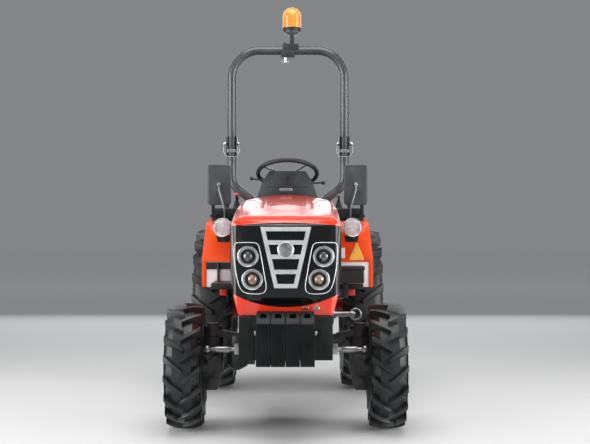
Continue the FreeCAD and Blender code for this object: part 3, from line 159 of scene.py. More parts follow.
def repeat_tree():
    """Copies a shape: each copy is moved by Step and turned by Turn from the one before it."""
    tree = bpy.data.node_groups.new("repeat", "GeometryNodeTree")
    for name, kind in (("Geometry", "Geometry"), ("Count", "Int"), ("Step", "Vector"), ("Turn", "Vector"),
                       ("Finish", "Material")):
        tree.interface.new_socket(name, in_out="INPUT", socket_type="NodeSocket" + kind)
    tree.interface.new_socket("Geometry", in_out="OUTPUT", socket_type="NodeSocketGeometry")
    new, join = tree.nodes.new, tree.links.new
    start, end = new("NodeGroupInput"), new("NodeGroupOutput")
    points, copies = new("GeometryNodePoints"), new("GeometryNodeInstanceOnPoints")
    index = new("GeometryNodeInputIndex")
    real, coat = new("GeometryNodeRealizeInstances"), new("GeometryNodeSetMaterial")
    for each, target in (("Step", points.inputs["Position"]), ("Turn", copies.inputs["Rotation"])):
        scaled = new("ShaderNodeVectorMath")
        scaled.operation = "SCALE"
        join(start.outputs[each], scaled.inputs[0])
        join(index.outputs[0], scaled.inputs["Scale"])
        join(scaled.outputs[0], target)
    join(start.outputs["Count"], points.inputs["Count"])
    join(points.outputs[0], copies.inputs["Points"])
    join(start.outputs["Geometry"], copies.inputs["Instance"])
    join(copies.outputs[0], real.inputs[0])
    join(real.outputs[0], coat.inputs["Geometry"])
    join(start.outputs["Finish"], coat.inputs["Material"])
    join(coat.outputs[0], end.inputs[0])
    return tree


def repeated(made, count, finish, step=(0, 0, 0), turn=(0, 0, 0)):
    """The piece's shape repeated by the tree above and settled into one mesh."""
    live = made.modifiers.new("repeat", "NODES")
    live.node_group = repeats
    values = {"Count": count, "Step": step, "Turn": turn, "Finish": finish}
    for socket in repeats.interface.items_tree:
        if socket.in_out == "INPUT" and socket.name in values:
            live[socket.identifier] = values[socket.name]
    return settled(made)


def turned_x(profile, sides):
    """A closed (radius, along) outline carried round the X axis."""
    shape = bmesh.new()
    rings = []
    for k in range(sides):
        a = 2 * math.pi * k / sides
        rings.append([shape.verts.new((x, r * math.cos(a), r * math.sin(a))) for r, x in profile])
    for k in range(sides):
        here, there = rings[k], rings[(k + 1) % sides]
        for i in range(len(profile)):
            j = (i + 1) % len(profile)
            shape.faces.new((here[i], here[j], there[j], there[i]))
    return shape


def joined(made, *others):
    """Adds the other pieces' meshes to the first and drops them."""
    shape = bmesh.new()
    shape.from_mesh(made.data)
    for other in others:
        shape.from_mesh(other.data)
        bpy.data.objects.remove(other)
    shape.to_mesh(made.data)
    shape.free()
    smoothed(made.data)
    return made


def stand_in(made, node):
    """The piece rides with the node and shows in its place."""
    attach(made, frame["nodes"][node]["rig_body"])
    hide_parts(node)


def tyre_profile(tip, half, seat, bead, height):
    """Half of the carcass's outline, from the bead to the middle of the tread, as (radius, along)."""
    carcass = tip - height
    wall = (seat + carcass) / 2
    return [(seat, bead), (seat + 0.011, bead + 0.001), (seat + 0.019, bead + 0.001),
            (seat + 0.024, bead + 0.007), (wall - 0.034, half - 0.011), (wall - 0.016, half - 0.003),
            (wall, half - 0.0005), (wall + 0.018, half - 0.002), (carcass - 0.05, half - 0.008),
            (carcass - 0.03, half - 0.014), (carcass - 0.016, half - 0.024), (carcass - 0.007, half - 0.04),
            (carcass - 0.002, half * 0.5), (carcass, half * 0.25)]


def tread_bar(side, tip, half, height, width):
    """One bar, curved back as it runs outwards, with a flat top, sloped sides and a thick outer end."""
    shape = bmesh.new()
    carcass = tip - height
    sweep = half * 0.78 / tip
    sections = []
    runs = 10
    for k in range(runs + 1):
        u = k / runs
        along = -0.03 * width + u * (half - 0.004 + 0.03 * width)
        angle = -math.pi / 2 - sweep * (0.82 * u + 0.18 * u * u)
        drop = width * 0.085 * u ** 2.6
        thick = width * (0.048 + 0.026 * u)
        top = math.sqrt((tip - drop) ** 2 - thick ** 2)
        low = carcass - 0.006 - (width * 0.1 + 0.008) * u ** 3
        out = Vector((0, math.cos(angle), math.sin(angle)))
        back = Vector((0, -math.sin(angle), math.cos(angle)))
        round_off = 0.004
        points = [(-thick * 1.4, low), (-thick * 1.04, top - round_off), (-thick * 0.86, top),
                  (thick * 0.86, top), (thick * 1.04, top - round_off), (thick * 1.4, low)]
        sidewards = Vector((side * along, 0, 0))
        sections.append([shape.verts.new(out * r + back * t + sidewards) for t, r in points])
    for here, there in zip(sections, sections[1:]):
        for i in range(5):
            shape.faces.new((here[i], here[i + 1], there[i + 1], there[i]))
        shape.faces.new((here[5], here[0], there[0], there[5]))
    shape.faces.new(sections[0])
    shape.faces.new(list(reversed(sections[-1])))
    return shape


def farm_tyre(node, seat, rim_width, pairs, height):
    """A carcass about the wheel's axle, with one bar and one short shoulder rib a pitch on each side.

    seat is the rim's radius, pairs the number of bars a side and height how far they stand out.
    """
    low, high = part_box(node)
    half, tip = (high.x - low.x) / 2, (high.y - low.y) / 2
    carcass = tip - height
    outline = tyre_profile(tip, half, seat, rim_width / 2 - 0.0065, height)
    outline += [(r, -x) for r, x in reversed(outline)]
    made = from_shape(node + "_tread", turned_x(outline, 120), rubber, 60)
    pitch = math.tau / pairs
    rib_size = (0.012, 0.006, 0.026)
    for side, start in ((1, 0.0), (-1, 0.5)):
        bar = from_shape("bar", tread_bar(side, tip, half, height, 2 * half), rubber)
        bar.data.transform(Matrix.Rotation(start * pitch, 4, "X"))
        rib = block("rib", (side * (half - 0.0135), 0, -(carcass - 0.04)), rib_size, rubber)
        rib.data.transform(Matrix.Rotation(-0.5 * half * 0.78 / tip + (start + 0.2) * pitch, 4, "X"))
        made = joined(made, repeated(joined(bar, rib), pairs, rubber, turn=(pitch, 0, 0)))
    axle_z = wheel_height[node.split("_")[0]]
    made.data.transform(Matrix.Translation(((low.x + high.x) / 2, (low.y + high.y) / 2, axle_z)))
    stand_in(made, node)


repeats = repeat_tree()
rubber = surface(
    "tyre_rubber", ((0.006, 0.007, 0.0075), (0.02, 0.022, 0.023)), (0.3, 0.58), scale=9.0,
    grain=(0.0006, 260.0), mirror=0.45)
joint_place = {j["name"]: Vector(j["pos_m"]) for j in frame["joints"] if "pos_m" in j}
wheel_height = {"front": joint_place["front_wheel_left_turn"].z,
                "rear": joint_place["rear_wheel_left_turn"].z}
for side in ("left", "right"):
    farm_tyre("front_tyre_" + side, seat=0.1528, rim_width=0.118, pairs=18, height=0.024)
    farm_tyre("rear_tyre_" + side, seat=0.2548, rim_width=0.178, pairs=22, height=0.03)


# ---- rims
# Pressed steel rims painted silver grey, each with a dished centre. A ring of plain steel nuts on washers
# holds each rim to its hub.


def dressed(node, finish, edge=0.0015, segments=2, places=()):
    """A merged copy of a CAD node with its sharp edges eased. It shows in the node's place.

    places are (finish, test) pairs: a face whose middle passes the test takes that finish.
    """
    shape = bmesh.new()
    shape.from_mesh(frame["nodes"][node].data)
    bmesh.ops.remove_doubles(shape, verts=shape.verts, dist=2e-5)
    bmesh.ops.dissolve_limit(shape, angle_limit=math.radians(0.4), verts=shape.verts, edges=shape.edges)
    mesh = bpy.data.meshes.new(node)
    shape.to_mesh(mesh)
    shape.free()
    made = piece(node + "_finished", mesh, finish)
    if edge:
        soft = made.modifiers.new("eased", "BEVEL")
        soft.width = edge
        soft.segments = segments
        soft.limit_method = "ANGLE"
        soft.angle_limit = math.radians(32)
        soft.use_clamp_overlap = True
    settled(made, 38.0)
    for index, (other, test) in enumerate(places, 1):
        made.data.materials.append(other)
        for face in made.data.polygons:
            if test(face.center):
                face.material_index = index
    stand_in(made, node)


rim_paint = surface(
    "rim_paint", ((0.5, 0.51, 0.52), (0.58, 0.59, 0.6)), (0.32, 0.46), scale=14.0, metal=0.25, coat=0.3,
    grain=(0.00025, 300.0))
for node in ("front_rim_left", "front_rim_right", "rear_rim_left", "rear_rim_right"):
    dressed(node, rim_paint, 0.0012)


def hexagon(name, flats, height, place, finish, way):
    """A hexagon head with a chamfered top on a round washer, its foot at the place, facing along X or Y."""
    shape = bmesh.new()
    outer = flats / math.sqrt(3)
    washer = height * 0.16
    for radius, low, top, sides in ((outer * 1.28, 0.0, washer, 20), (outer, washer, height, 6)):
        bmesh.ops.create_cone(shape, segments=sides, radius1=radius, radius2=radius, depth=top - low,
                              cap_ends=True, matrix=Matrix.Translation((0, 0, (low + top) / 2)))
    rim_edges = [e for e in shape.edges if all(v.co.z > height * 0.99 for v in e.verts)]
    bmesh.ops.bevel(shape, geom=rim_edges, offset=flats * 0.07, segments=1, affect="EDGES", profile=0.5)
    turn, axis = {"X": (0.5, "Y"), "-X": (-0.5, "Y"), "Y": (-0.5, "X"), "-Y": (0.5, "X")}[way]
    shape.transform(Matrix.Translation(place) @ Matrix.Rotation(turn * math.pi, 4, axis))
    return from_shape(name, shape, finish, 30)


def fitted(name, body, made):
    """Names a finished piece and lets it ride with a body."""
    made.name = name
    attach(made, body)


nut_steel = surface(
    "nut_steel", ((0.34, 0.34, 0.34), (0.48, 0.48, 0.47)), (0.25, 0.4), scale=60.0, metal=1.0)
for end, ring_r, count, dish, flats in (("front", 0.066, 5, -0.006, 0.024),
                                        ("rear", 0.0965, 6, -0.03, 0.027)):
    for side, name in ((1, "left"), (-1, "right")):
        hub = joint_place[f"{end}_wheel_{name}_turn"]
        nut = hexagon("nut", flats, 0.014, (side * (dish + 0.0052), ring_r, 0), nut_steel,
                      "X" if side > 0 else "-X")
        nuts = repeated(nut, count, nut_steel, turn=(math.tau / count, 0, 0))
        low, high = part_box(f"{end}_rim_{name}")
        nuts.data.transform(Matrix.Translation(((low.x + high.x) / 2, hub.y, hub.z)))
        fitted(f"{end}_wheel_nuts_{name}", f"{end}_wheel_{name}", nuts)

# ---- front axle and steering
# A cast beam axle, painted dark grey, with a drop case at each end. The steering cylinder is painted black,
# and the tie rods are worn bare steel.
cast_paint = surface(
    "cast_iron_paint", ((0.011, 0.012, 0.013), (0.024, 0.025, 0.027)), (0.36, 0.56), scale=18.0,
    grain=(0.0009, 170.0))
bright_steel = surface(
    "bright_steel", ((0.42, 0.42, 0.43), (0.56, 0.56, 0.57)), (0.22, 0.36), scale=30.0, metal=1.0,
    grain=(0.0002, 600.0))
black_paint = surface(
    "black_paint", ((0.006, 0.0065, 0.007), (0.012, 0.0125, 0.0135)), (0.3, 0.45), scale=20.0, coat=0.12,
    grain=(0.0003, 350.0), mirror=0.3)
for node in ("front_axle", "knuckle_left", "knuckle_right"):
    dressed(node, cast_paint, 0.0025)
dressed("steering_cylinder", black_paint, 0.001)
worn_steel = surface(
    "worn_steel", ((0.28, 0.28, 0.28), (0.38, 0.38, 0.38)), (0.3, 0.42), scale=70.0, metal=0.9,
    grain=(0.0003, 500.0))
dressed("tie_rods", worn_steel, 0.001)

# ---- front frame and weights
# The bolster is welded plate under black paint. The four suitcase weights are cast iron, hooked over its
# carrier and held by a rod, whose nuts show at both ends.
frame_black = surface(
    "frame_black", ((0.0035, 0.004, 0.004), (0.009, 0.01, 0.01)), (0.42, 0.6), scale=16.0,
    grain=(0.0006, 200.0), mirror=0.18)
dressed("front_frame", frame_black, 0.0015)
weight_iron = surface(
    "weight_iron", ((0.0025, 0.003, 0.0032), (0.006, 0.007, 0.0075)), (0.38, 0.54), scale=12.0,
    grain=(0.0012, 120.0), mirror=0.16)
dressed("front_weights", weight_iron, 0.004, segments=3)
weight_low, weight_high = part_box("front_weights")
rod_place = Vector((0, weight_high.y - 0.06, 0.506))
rod_nuts = [hexagon("nut", 0.02, 0.012, rod_place + Vector((x, 0, 0)), nut_steel, way)
            for x, way in ((weight_high.x, "X"), (weight_low.x, "-X"))]
fitted("weight_rod_nuts", "chassis", joined(*rod_nuts))

# ---- engine, exhaust and gearbox
# Cast housings bolted end to end, painted dark grey, with a red rear axle and a silencer of worn steel.
# Hexagon bolts sit on their flanks and on the rear cover.
for node in ("engine", "gearbox", "rockshaft_case", "link_brackets", "drive_shaft"):
    dressed(node, cast_paint, 0.0025)
axle_red = surface(
    "axle_red_paint", ((0.5, 0.028, 0.012), (0.6, 0.04, 0.018)), (0.34, 0.5), scale=16.0, coat=0.2,
    grain=(0.0008, 150.0))
dressed("rear_axle", axle_red, 0.0025)
dressed("exhaust", worn_steel, 0.001)


def skin_tree(*nodes):
    """The nodes' faces, to find where a fitting sits on them."""
    points, faces = [], []
    for node in nodes:
        mesh = frame["nodes"][node].data
        faces += [[i + len(points) for i in face.vertices] for face in mesh.polygons]
        points += [v.co.copy() for v in mesh.vertices]
    return BVHTree.FromPolygons(points, faces)


def on_skin(skin, start, way, proud=0.0):
    """Where a line from the start meets the skin, stood proud of it."""
    return skin.ray_cast(Vector(start), Vector(way))[0] - proud * Vector(way)


housings = skin_tree("engine", "gearbox")
sunk = -0.0005
flank_bolts = []
for y in (-0.337, -0.283, 0.3, 0.56):
    for z in (0.44, 0.49, 0.54, 0.59):
        for side, way in ((1, "X"), (-1, "-X")):
            foot = on_skin(housings, (side * 0.6, y, z), (-side, 0, 0), sunk)
            flank_bolts.append(hexagon("bolt", 0.017, 0.01, foot, nut_steel, way))
fitted("case_bolts", "chassis", joined(*flank_bolts))
cover_skin = skin_tree("gearbox")
cover_bolts = []
for x in (-0.105, 0.105):
    for z in (0.4, 0.5, 0.6):
        foot = on_skin(cover_skin, (x, 2.0, z), (0, -1, 0), sunk)
        cover_bolts.append(hexagon("bolt", 0.017, 0.01, foot, nut_steel, "Y"))
fitted("rear_cover_bolts", "chassis", joined(*cover_bolts))

# ---- hood
# Pressed steel in glossy red, hinged at the back, with slotted vents. Its front is gloss black plastic over
# a red band with a lock and a catch. Under it, two rubber hoses run to the steering cylinder.
hood_red = surface(
    "hood_red", ((0.66, 0.03, 0.005), (0.7, 0.04, 0.007)), (0.2, 0.28), scale=5.0, coat=0.8, coat_rough=0.1)
dressed("hood", hood_red, 0.0)
gloss_black = surface(
    "gloss_black", ((0.004, 0.0045, 0.005), (0.007, 0.008, 0.009)), (0.2, 0.26), scale=6.0, coat=0.5,
    coat_rough=0.03, mirror=0.15)
dressed("front_fascia", gloss_black, 0.0)


front_skin = skin_tree("hood", "front_fascia")
hood_skin = skin_tree("hood")


def on_front(x, z, proud=0.0):
    return on_skin(front_skin, (x, -3.0, z), (0, 1, 0), proud)


def on_hood(x, y, proud):
    return on_skin(hood_skin, (x, y, 2.0), (0, 0, -1), proud)


def turned_y(profile, sides, place):
    """A closed (radius, ahead) outline carried round a line along Y, ahead being towards the front."""
    shape = turned_x(profile, sides)
    shape.transform(Matrix.Translation(place) @ Matrix.Rotation(-math.pi / 2, 4, "Z"))
    return shape


def lathed(name, outline, sides, place, finish, angle=35.0):
    return from_shape(name, turned_y(outline, sides, place), finish, angle)


def bead(name, points, radius, finish, closed=False, sides=2):
    """A round wire through the points."""
    line = bpy.data.curves.new(name, "CURVE")
    line.dimensions = "3D"
    spline = line.splines.new("NURBS")
    spline.points.add(len(points) - 1)
    for at, point in zip(spline.points, points):
        at.co = (*point, 1.0)
    spline.order_u = 3
    spline.use_endpoint_u = not closed
    spline.use_cyclic_u = closed
    line.resolution_u = 6
    line.bevel_depth = radius
    line.bevel_resolution = sides
    line.use_fill_caps = not closed
    wire = bpy.data.objects.new(name + "_line", line)
    bpy.context.scene.collection.objects.link(wire)
    mesh = plain_mesh(wire)
    bpy.data.objects.remove(wire)
    mesh.shade_smooth()
    return piece(name, mesh, finish)


lamp_black = surface(
    "lamp_black", ((0.01, 0.01, 0.011), (0.016, 0.016, 0.017)), (0.2, 0.3), scale=30.0, coat=0.4)
lock_steel = surface(
    "lock_steel", ((0.5, 0.49, 0.47), (0.62, 0.61, 0.6)), (0.2, 0.3), scale=60.0, metal=1.0)
band_z = 0.613
lock_x, catch_x = 0.143, 0.092
lock_outline = [(0.0001, -0.004), (0.013, -0.004), (0.013, 0.004), (0.011, 0.006), (0.0075, 0.006),
                (0.007, 0.003), (0.0001, 0.003)]
lock = lathed("hood_lock", lock_outline, 32, on_front(lock_x, band_z), lock_steel)
key_slot = block("key_slot", on_front(lock_x, band_z, 0.003), (0.0015, 0.001, 0.008), black_paint)
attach(joined(lock, key_slot), "hood")
catch_place = on_front(catch_x, band_z + 0.002, 0.003)
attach(block("hood_catch", catch_place, (0.03, 0.012, 0.014), lock_steel, 0.003), "hood")
seam_red = surface("seam_red", ((0.1, 0.008, 0.006), (0.14, 0.012, 0.008)), (0.4, 0.5), scale=30.0)
half_seam = [(0.0, -0.6), (0.07, -0.6), (0.125, -0.598), (0.139, -0.585), (0.15, -0.47), (0.165, -0.33),
             (0.182, -0.26), (0.2, -0.19), (0.215, -0.13)]
route = [(-x, y) for x, y in reversed(half_seam[1:])] + half_seam
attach(bead("hood_seam", [on_hood(x, y, -0.0002) for x, y in route], 0.002, seam_red), "hood")
ridges = []
ridge_steps = 18
for side in (-1, 1):
    shares = [k / ridge_steps for k in range(ridge_steps + 1)]
    route = [on_hood(side * (0.094 + 0.015 * share), -0.93 + 0.87 * share, -0.0045) for share in shares]
    ridges.append(bead("ridge", route, 0.0062, hood_red, sides=5))
fitted("hood_ridges", "hood", joined(*ridges))


def block_between(name, low, high, finish, soft):
    """A rounded box from corner to corner."""
    low, high = Vector(low), Vector(high)
    return block(name, (low + high) / 2, high - low, finish, soft)


vents = []
for side in (-1, 1):
    top, low = [on_skin(hood_skin, (side * 2, -0.62, z), (-side, 0, 0)) for z in (0.87, 0.77)]
    face = side * max(abs(top.x), abs(low.x))
    vents.append(block_between("vent_frame", (face - 0.006, -0.77, 0.758), (face + 0.0015, -0.47, 0.882),
                               lamp_black, 0.003))
    slot = block_between("vent_slot", (face - 0.004, -0.758, 0.768), (face + 0.004, -0.744, 0.872),
                         lamp_black, 0.0015)
    vents.append(repeated(slot, 12, lamp_black, step=(0, 0.0248, 0)))
fitted("hood_side_vents", "hood", joined(*vents))

hose_rubber = surface(
    "hose_rubber", ((0.012, 0.012, 0.013), (0.022, 0.022, 0.023)), (0.4, 0.55), scale=60.0,
    grain=(0.0004, 500.0))
cylinder_low, cylinder_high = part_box("steering_cylinder")
port_y, port_top = (cylinder_low.y + cylinder_high.y) / 2, cylinder_high.z
hoses = []
for x, back in ((0.096, 0.0), (-0.096, 0.016)):
    route = [(x, port_y, port_top - 0.006), (x, port_y, port_top + 0.02),
             (x + 0.03, port_y, port_top + 0.04), (0.19, port_y + back, 0.495),
             (0.224, port_y + back, 0.515), (0.229, port_y + 0.02 + back, 0.57),
             (0.212, port_y + 0.06 + back, 0.625)]
    hoses.append(bead("hose", route, 0.0062, hose_rubber, sides=3))
fitted("steering_hoses", "chassis", joined(*hoses))

# ---- grille
# A tapering frame of silver-plated plastic with three bars and a plain round badge, clipped into the black
# front before fine dark slats.
silver_plate = surface(
    "silver_plate", ((0.62, 0.66, 0.67), (0.72, 0.76, 0.77)), (0.24, 0.34), scale=20.0, metal=0.55,
    grain=(0.0001, 700.0))
dressed("grille_frame", silver_plate, 0.002, segments=3)
badge_z, badge_r = 0.886, 0.0385
badge_place = Vector((0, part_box("grille_frame")[0].y - 0.001, badge_z))
badge_metal = surface(
    "badge_metal", ((0.2, 0.215, 0.22), (0.34, 0.36, 0.37)), (0.34, 0.5), scale=90.0, metal=0.8,
    grain=(0.0006, 160.0))
disc = [(0.0001, -0.006), (badge_r, -0.006), (badge_r, 0.001), (badge_r - 0.003, 0.004),
        (badge_r - 0.006, 0.003), (badge_r - 0.009, 0.001), (badge_r * 0.55, 0.0035), (0.0001, 0.0045)]
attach(lathed("grille_badge", disc, 72, badge_place, badge_metal, 40), "hood")
rim = [(badge_r - 0.0045, 0.001), (badge_r, 0.001), (badge_r, 0.0045), (badge_r - 0.0015, 0.0055),
       (badge_r - 0.0045, 0.0045)]
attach(lathed("grille_badge_rim", rim, 72, badge_place, silver_plate, 40), "hood")


def mesh_slats(low, high, half):
    """Fine upright slats over one of the grille's openings."""
    z = (low + high) / 2
    slat = block("slat", (0, 0, z), (0.0016, 0.003, high - low), black_paint)
    pitch = 0.006
    count = int(2 * (half - 0.003) / pitch)
    slat.data.transform(Matrix.Translation((-(count - 1) * pitch / 2, on_front(0, z).y - 0.0012, 0)))
    return repeated(slat, count, black_paint, step=(pitch, 0, 0))


rung_half = 0.01
rungs = [0.718, 0.784, 0.854, 0.92, 0.982]
slats = []
for lower, upper in zip(rungs, rungs[1:]):
    low, high = lower + rung_half, upper - rung_half
    slats.append(mesh_slats(low, high, min(0.053 + (z - 0.708) * 0.2289 - 0.02 for z in (low, high))))
fitted("grille_slats", "hood", joined(*slats))

# ---- headlamps
# Four round projector lamps: a plated ring, a bright bowl and a domed lens in black collars. A thin silver
# bead is clipped into the black front round each pair.
bowl_plate = surface(
    "lamp_bowl", ((0.34, 0.35, 0.35), (0.52, 0.53, 0.53)), (0.24, 0.38), scale=40.0, metal=0.2, coat=0.4)
lens_look = {"scale": 46.0, "metal": 0.1, "coat": 1.0, "coat_rough": 0.02, "mirror": 1.0}
lens_clear = surface("lens_glass", ((0.02, 0.022, 0.023), (0.16, 0.165, 0.17)), (0.03, 0.08), **lens_look)
lens_warm = surface("lens_glass_warm", ((0.07, 0.03, 0.018), (0.46, 0.28, 0.2)), (0.03, 0.08), **lens_look)
# a lamp's depth is taken from the front, just outside its ring
lamp_r, probe_r = 0.0495, 0.052
wall_r, lip_r = lamp_r - 0.006, lamp_r - 0.0075
lamp_parts = []
for z, x, glass in ((0.854, 0.176, lens_clear), (0.747, 0.155, lens_warm)):
    for side in (-1, 1):
        place = on_front(side * (x + probe_r), z) + Vector((-side * probe_r, -0.001, 0))
        rings = (([(lamp_r, -0.05), (lamp_r, 0.004), (lamp_r - 0.0015, 0.0055), (lamp_r - 0.0035, 0.0055),
                   (wall_r, 0.003), (wall_r, -0.05)], silver_plate),
                 ([(wall_r, -0.048), (wall_r, -0.003), (lip_r, -0.004), (lip_r, -0.048)], lamp_black),
                 ([(lip_r, -0.046), (lip_r, 0.0005), (0.039, 0.001), (0.035, -0.006), (0.0315, -0.014),
                   (0.0315, -0.046)], bowl_plate),
                 ([(0.0315, -0.046), (0.0315, -0.004), (0.03, 0.0005), (0.027, 0.0005), (0.0255, -0.006),
                   (0.0255, -0.046)], lamp_black),
                 ([(0.0001, -0.04), (0.0255, -0.04), (0.0255, -0.0075), (0.0235, -0.004), (0.019, 0.0),
                   (0.012, 0.0035), (0.006, 0.005), (0.0001, 0.0055)], glass))
        for outline, finish in rings:
            lamp_parts.append(lathed("lamp_ring", outline, 64, place, finish, 50))


def merged(name, parts):
    """Joins finished pieces into one mesh that keeps each one's material."""
    finishes, places, shape = [], [], bmesh.new()
    for part in parts:
        finish = part.data.materials[0]
        if finish not in finishes:
            finishes.append(finish)
        places += [finishes.index(finish)] * len(part.data.polygons)
        shape.from_mesh(part.data)
        bpy.data.objects.remove(part)
    mesh = bpy.data.meshes.new(name)
    shape.to_mesh(mesh)
    shape.free()
    made = piece(name, mesh, finishes[0])
    for finish in finishes[1:]:
        mesh.materials.append(finish)
    mesh.polygons.foreach_set("material_index", places)
    smoothed(mesh, 42)
    return made


stand_in(merged("head_lamp_units", lamp_parts), "head_lamps")
outline = [(0.215, 0.919), (0.15, 0.92), (0.13, 0.914), (0.122, 0.897), (0.108, 0.824), (0.096, 0.752),
           (0.09, 0.722), (0.092, 0.695), (0.108, 0.682), (0.14, 0.68), (0.178, 0.682), (0.203, 0.692),
           (0.22, 0.722), (0.232, 0.775), (0.239, 0.83), (0.242, 0.88), (0.24, 0.908), (0.232, 0.918)]
for side, name in ((1, "lamp_bead_left"), (-1, "lamp_bead_right")):
    route = [on_front(side * x, z, 0.0005) for x, z in outline]
    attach(bead(name, route, 0.0021, silver_plate, closed=True), "hood")

# ---- dash and steering wheel
# Grained black plastic round the steering column, with a moulded wheel on grey spokes and coloured lever
# knobs. The cowl's front has a crease, a grey catch and a screw, and one round dial faces the driver.
black_plastic = surface(
    "black_plastic", ((0.01, 0.0128, 0.0134), (0.018, 0.022, 0.0228)), (0.42, 0.56), scale=14.0,
    grain=(0.0004, 500.0), mirror=0.35)
for node in ("console", "steering_column", "side_consoles", "tool_box", "pedals"):
    dressed(node, black_plastic, 0.002)
spoke_grey = surface(
    "spoke_grey", ((0.16, 0.17, 0.17), (0.24, 0.25, 0.25)), (0.3, 0.42), scale=30.0, metal=0.6)
wheel_hub = joint_place["steering_wheel_turn"]
steering = next(joint for joint in frame["joints"] if joint["name"] == "steering_wheel_turn")
wheel_axis = Vector(steering["axis"]).normalized()


def from_column(c):
    """How far a point lies from the steering column's axis."""
    away = c - wheel_hub
    return (away - wheel_axis * away.dot(wheel_axis)).length


dressed("steering_wheel", black_plastic, 0.001, places=[
    (spoke_grey, lambda c: 0.036 < from_column(c) < 0.153)])
knob_red = surface(
    "knob_red", ((0.5, 0.014, 0.016), (0.58, 0.022, 0.022)), (0.25, 0.35), scale=40.0, coat=0.5)
knob_rose = surface(
    "knob_rose", ((0.14, 0.085, 0.085), (0.2, 0.13, 0.125)), (0.35, 0.45), scale=40.0, coat=0.3)
lever_low, lever_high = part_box("levers")
dressed("levers", black_plastic, 0.0, places=[
    (knob_red, lambda c: c.x < -0.26 and c.z > lever_high.z - 0.028 and c.y < lever_low.y + 0.06),
    (knob_rose, lambda c: c.x > 0.2 and c.z > lever_high.z - 0.034)])

cowl_skin = skin_tree("console")


def on_cowl(x, z, way=1, proud=0.0):
    """A place on the cowl, met from the front (way 1) or from the driver's side (way -1)."""
    return on_skin(cowl_skin, (x, -way, z), (0, way, 0), proud)


crease = [on_cowl(0.12 * k / 6, 1.217, proud=0.0006) for k in range(-6, 7)]
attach(bead("cowl_crease", crease, 0.0022, black_plastic), "chassis")
catch_place = on_cowl(-0.007, 1.196)
cowl_catch = block_between("cowl_catch", catch_place - Vector((0.0365, 0.004, 0.008)),
                           catch_place + Vector((0.0365, 0.006, 0.012)), spoke_grey, 0.005)
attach(cowl_catch, "chassis")
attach(hexagon("cowl_screw", 0.012, 0.004, on_cowl(0.001, 1.262), black_paint, "-Y"), "chassis")
dial_white = surface("dial_face", ((0.6, 0.6, 0.58), (0.66, 0.66, 0.64)), (0.3, 0.4), scale=40.0, coat=0.6)
dial_z, dial_span = 1.272, 0.01
slope = on_cowl(0.0, dial_z - dial_span, -1) - on_cowl(0.0, dial_z + dial_span, -1)
dial_turn = Matrix.Rotation(math.atan2(slope.y, -slope.z), 4, "X") @ Matrix.Rotation(math.pi, 4, "Z")
face = [(0.0001, -0.003), (0.027, -0.003), (0.027, 0.0012), (0.0001, 0.0012)]
bezel = [(0.0255, -0.004), (0.03, -0.004), (0.03, 0.0035), (0.0285, 0.0045), (0.0255, 0.0025)]
dial_parts = []
for outline, finish in ((face, dial_white), (bezel, lamp_black)):
    shape = turned_y(outline, 48, (0, 0, 0))
    shape.transform(Matrix.Translation(on_cowl(0.0, dial_z, -1)) @ dial_turn)
    dial_parts.append(from_shape("dial", shape, finish, 40))
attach(merged("dash_dial", dial_parts), "chassis")

# ---- footboards and fenders
# Pressed fenders, painted nearly the hood's red, over black footboards. Black brackets carry the lamps, a
# stay and two red brackets carry the footboards, and one small plate is left blank.
dressed("floor_plates", black_paint, 0.001)
fender_red = surface(
    "fender_red", ((0.72, 0.056, 0.005), (0.78, 0.072, 0.008)), (0.26, 0.36), scale=5.0, coat=0.3,
    coat_rough=0.08, mirror=0.25)
for node in ("fender_left", "fender_right"):
    dressed(node, fender_red, 0.001)
dressed("seat_deck", black_paint, 0.002)
# pale plates; their pink tint is a painted reflection of the red fenders
pale_with_painted_reflection = surface(
    "pale_with_painted_reflection", ((0.56, 0.52, 0.51), (0.66, 0.62, 0.61)), (0.35, 0.5), scale=10.0, coat=0.2)
dressed("fender_plates", pale_with_painted_reflection, 0.001)
fender_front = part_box("fender_left")[0].y


def slab(name, outline, front, back, finish):
    """An upright plate with this (x, z) outline between two places along Y."""
    shape = bmesh.new()
    near, far = [[shape.verts.new((x, y, z)) for x, z in outline] for y in (front, back)]
    shape.faces.new(near)
    shape.faces.new(list(reversed(far)))
    for k in range(len(near)):
        j = (k + 1) % len(near)
        shape.faces.new((near[k], far[k], far[j], near[j]))
    return from_shape(name, shape, finish)


bracket_front = fender_front - 0.006
brackets = []
for side in (-1, 1):
    corners = [(side * x, z) for x, z in ((0.336, 0.904), (0.402, 0.904), (0.409, 0.938), (0.329, 0.938))]
    brackets.append(slab("lamp_bracket", corners, bracket_front, fender_front, black_paint))
    for x in (0.35, 0.388):
        brackets.append(hexagon("bolt", 0.01, 0.005, (side * x, bracket_front, 0.921), black_paint, "-Y"))
fitted("lamp_brackets", "chassis", joined(*brackets))
# the blank plate is the same pale finish, its pink tint a painted reflection of the red fender
blank_plate = block_between("blank_plate", (0.29, fender_front - 0.0015, 0.81), (0.33, fender_front, 0.87),
                            pale_with_painted_reflection, 0.0005)
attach(blank_plate, "chassis")
floor_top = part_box("floor_plates")[1].z
stay = [(-0.3975, fender_front - 0.007, z) for z in (floor_top, 0.74, 0.782)]
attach(bead("fender_stay", stay, 0.007, black_paint), "chassis")
steps = [block_between("step_bracket", (x - 0.02, 0.12, 0.6), (x + 0.02, 0.16, floor_top - 0.007), axle_red,
                       0.003) for x in (-0.365, 0.365)]
fitted("step_brackets", "chassis", joined(*steps))

# ---- seat
# A sprung seat with foam pads under black vinyl. Each pad is blown up from a smaller shape and creased
# where its channels are sewn, and the cushion is piped round its edge.
seat_vinyl = surface(
    "seat_vinyl", ((0.02, 0.02, 0.021), (0.032, 0.032, 0.034)), (0.42, 0.55), scale=18.0,
    grain=(0.0006, 330.0))


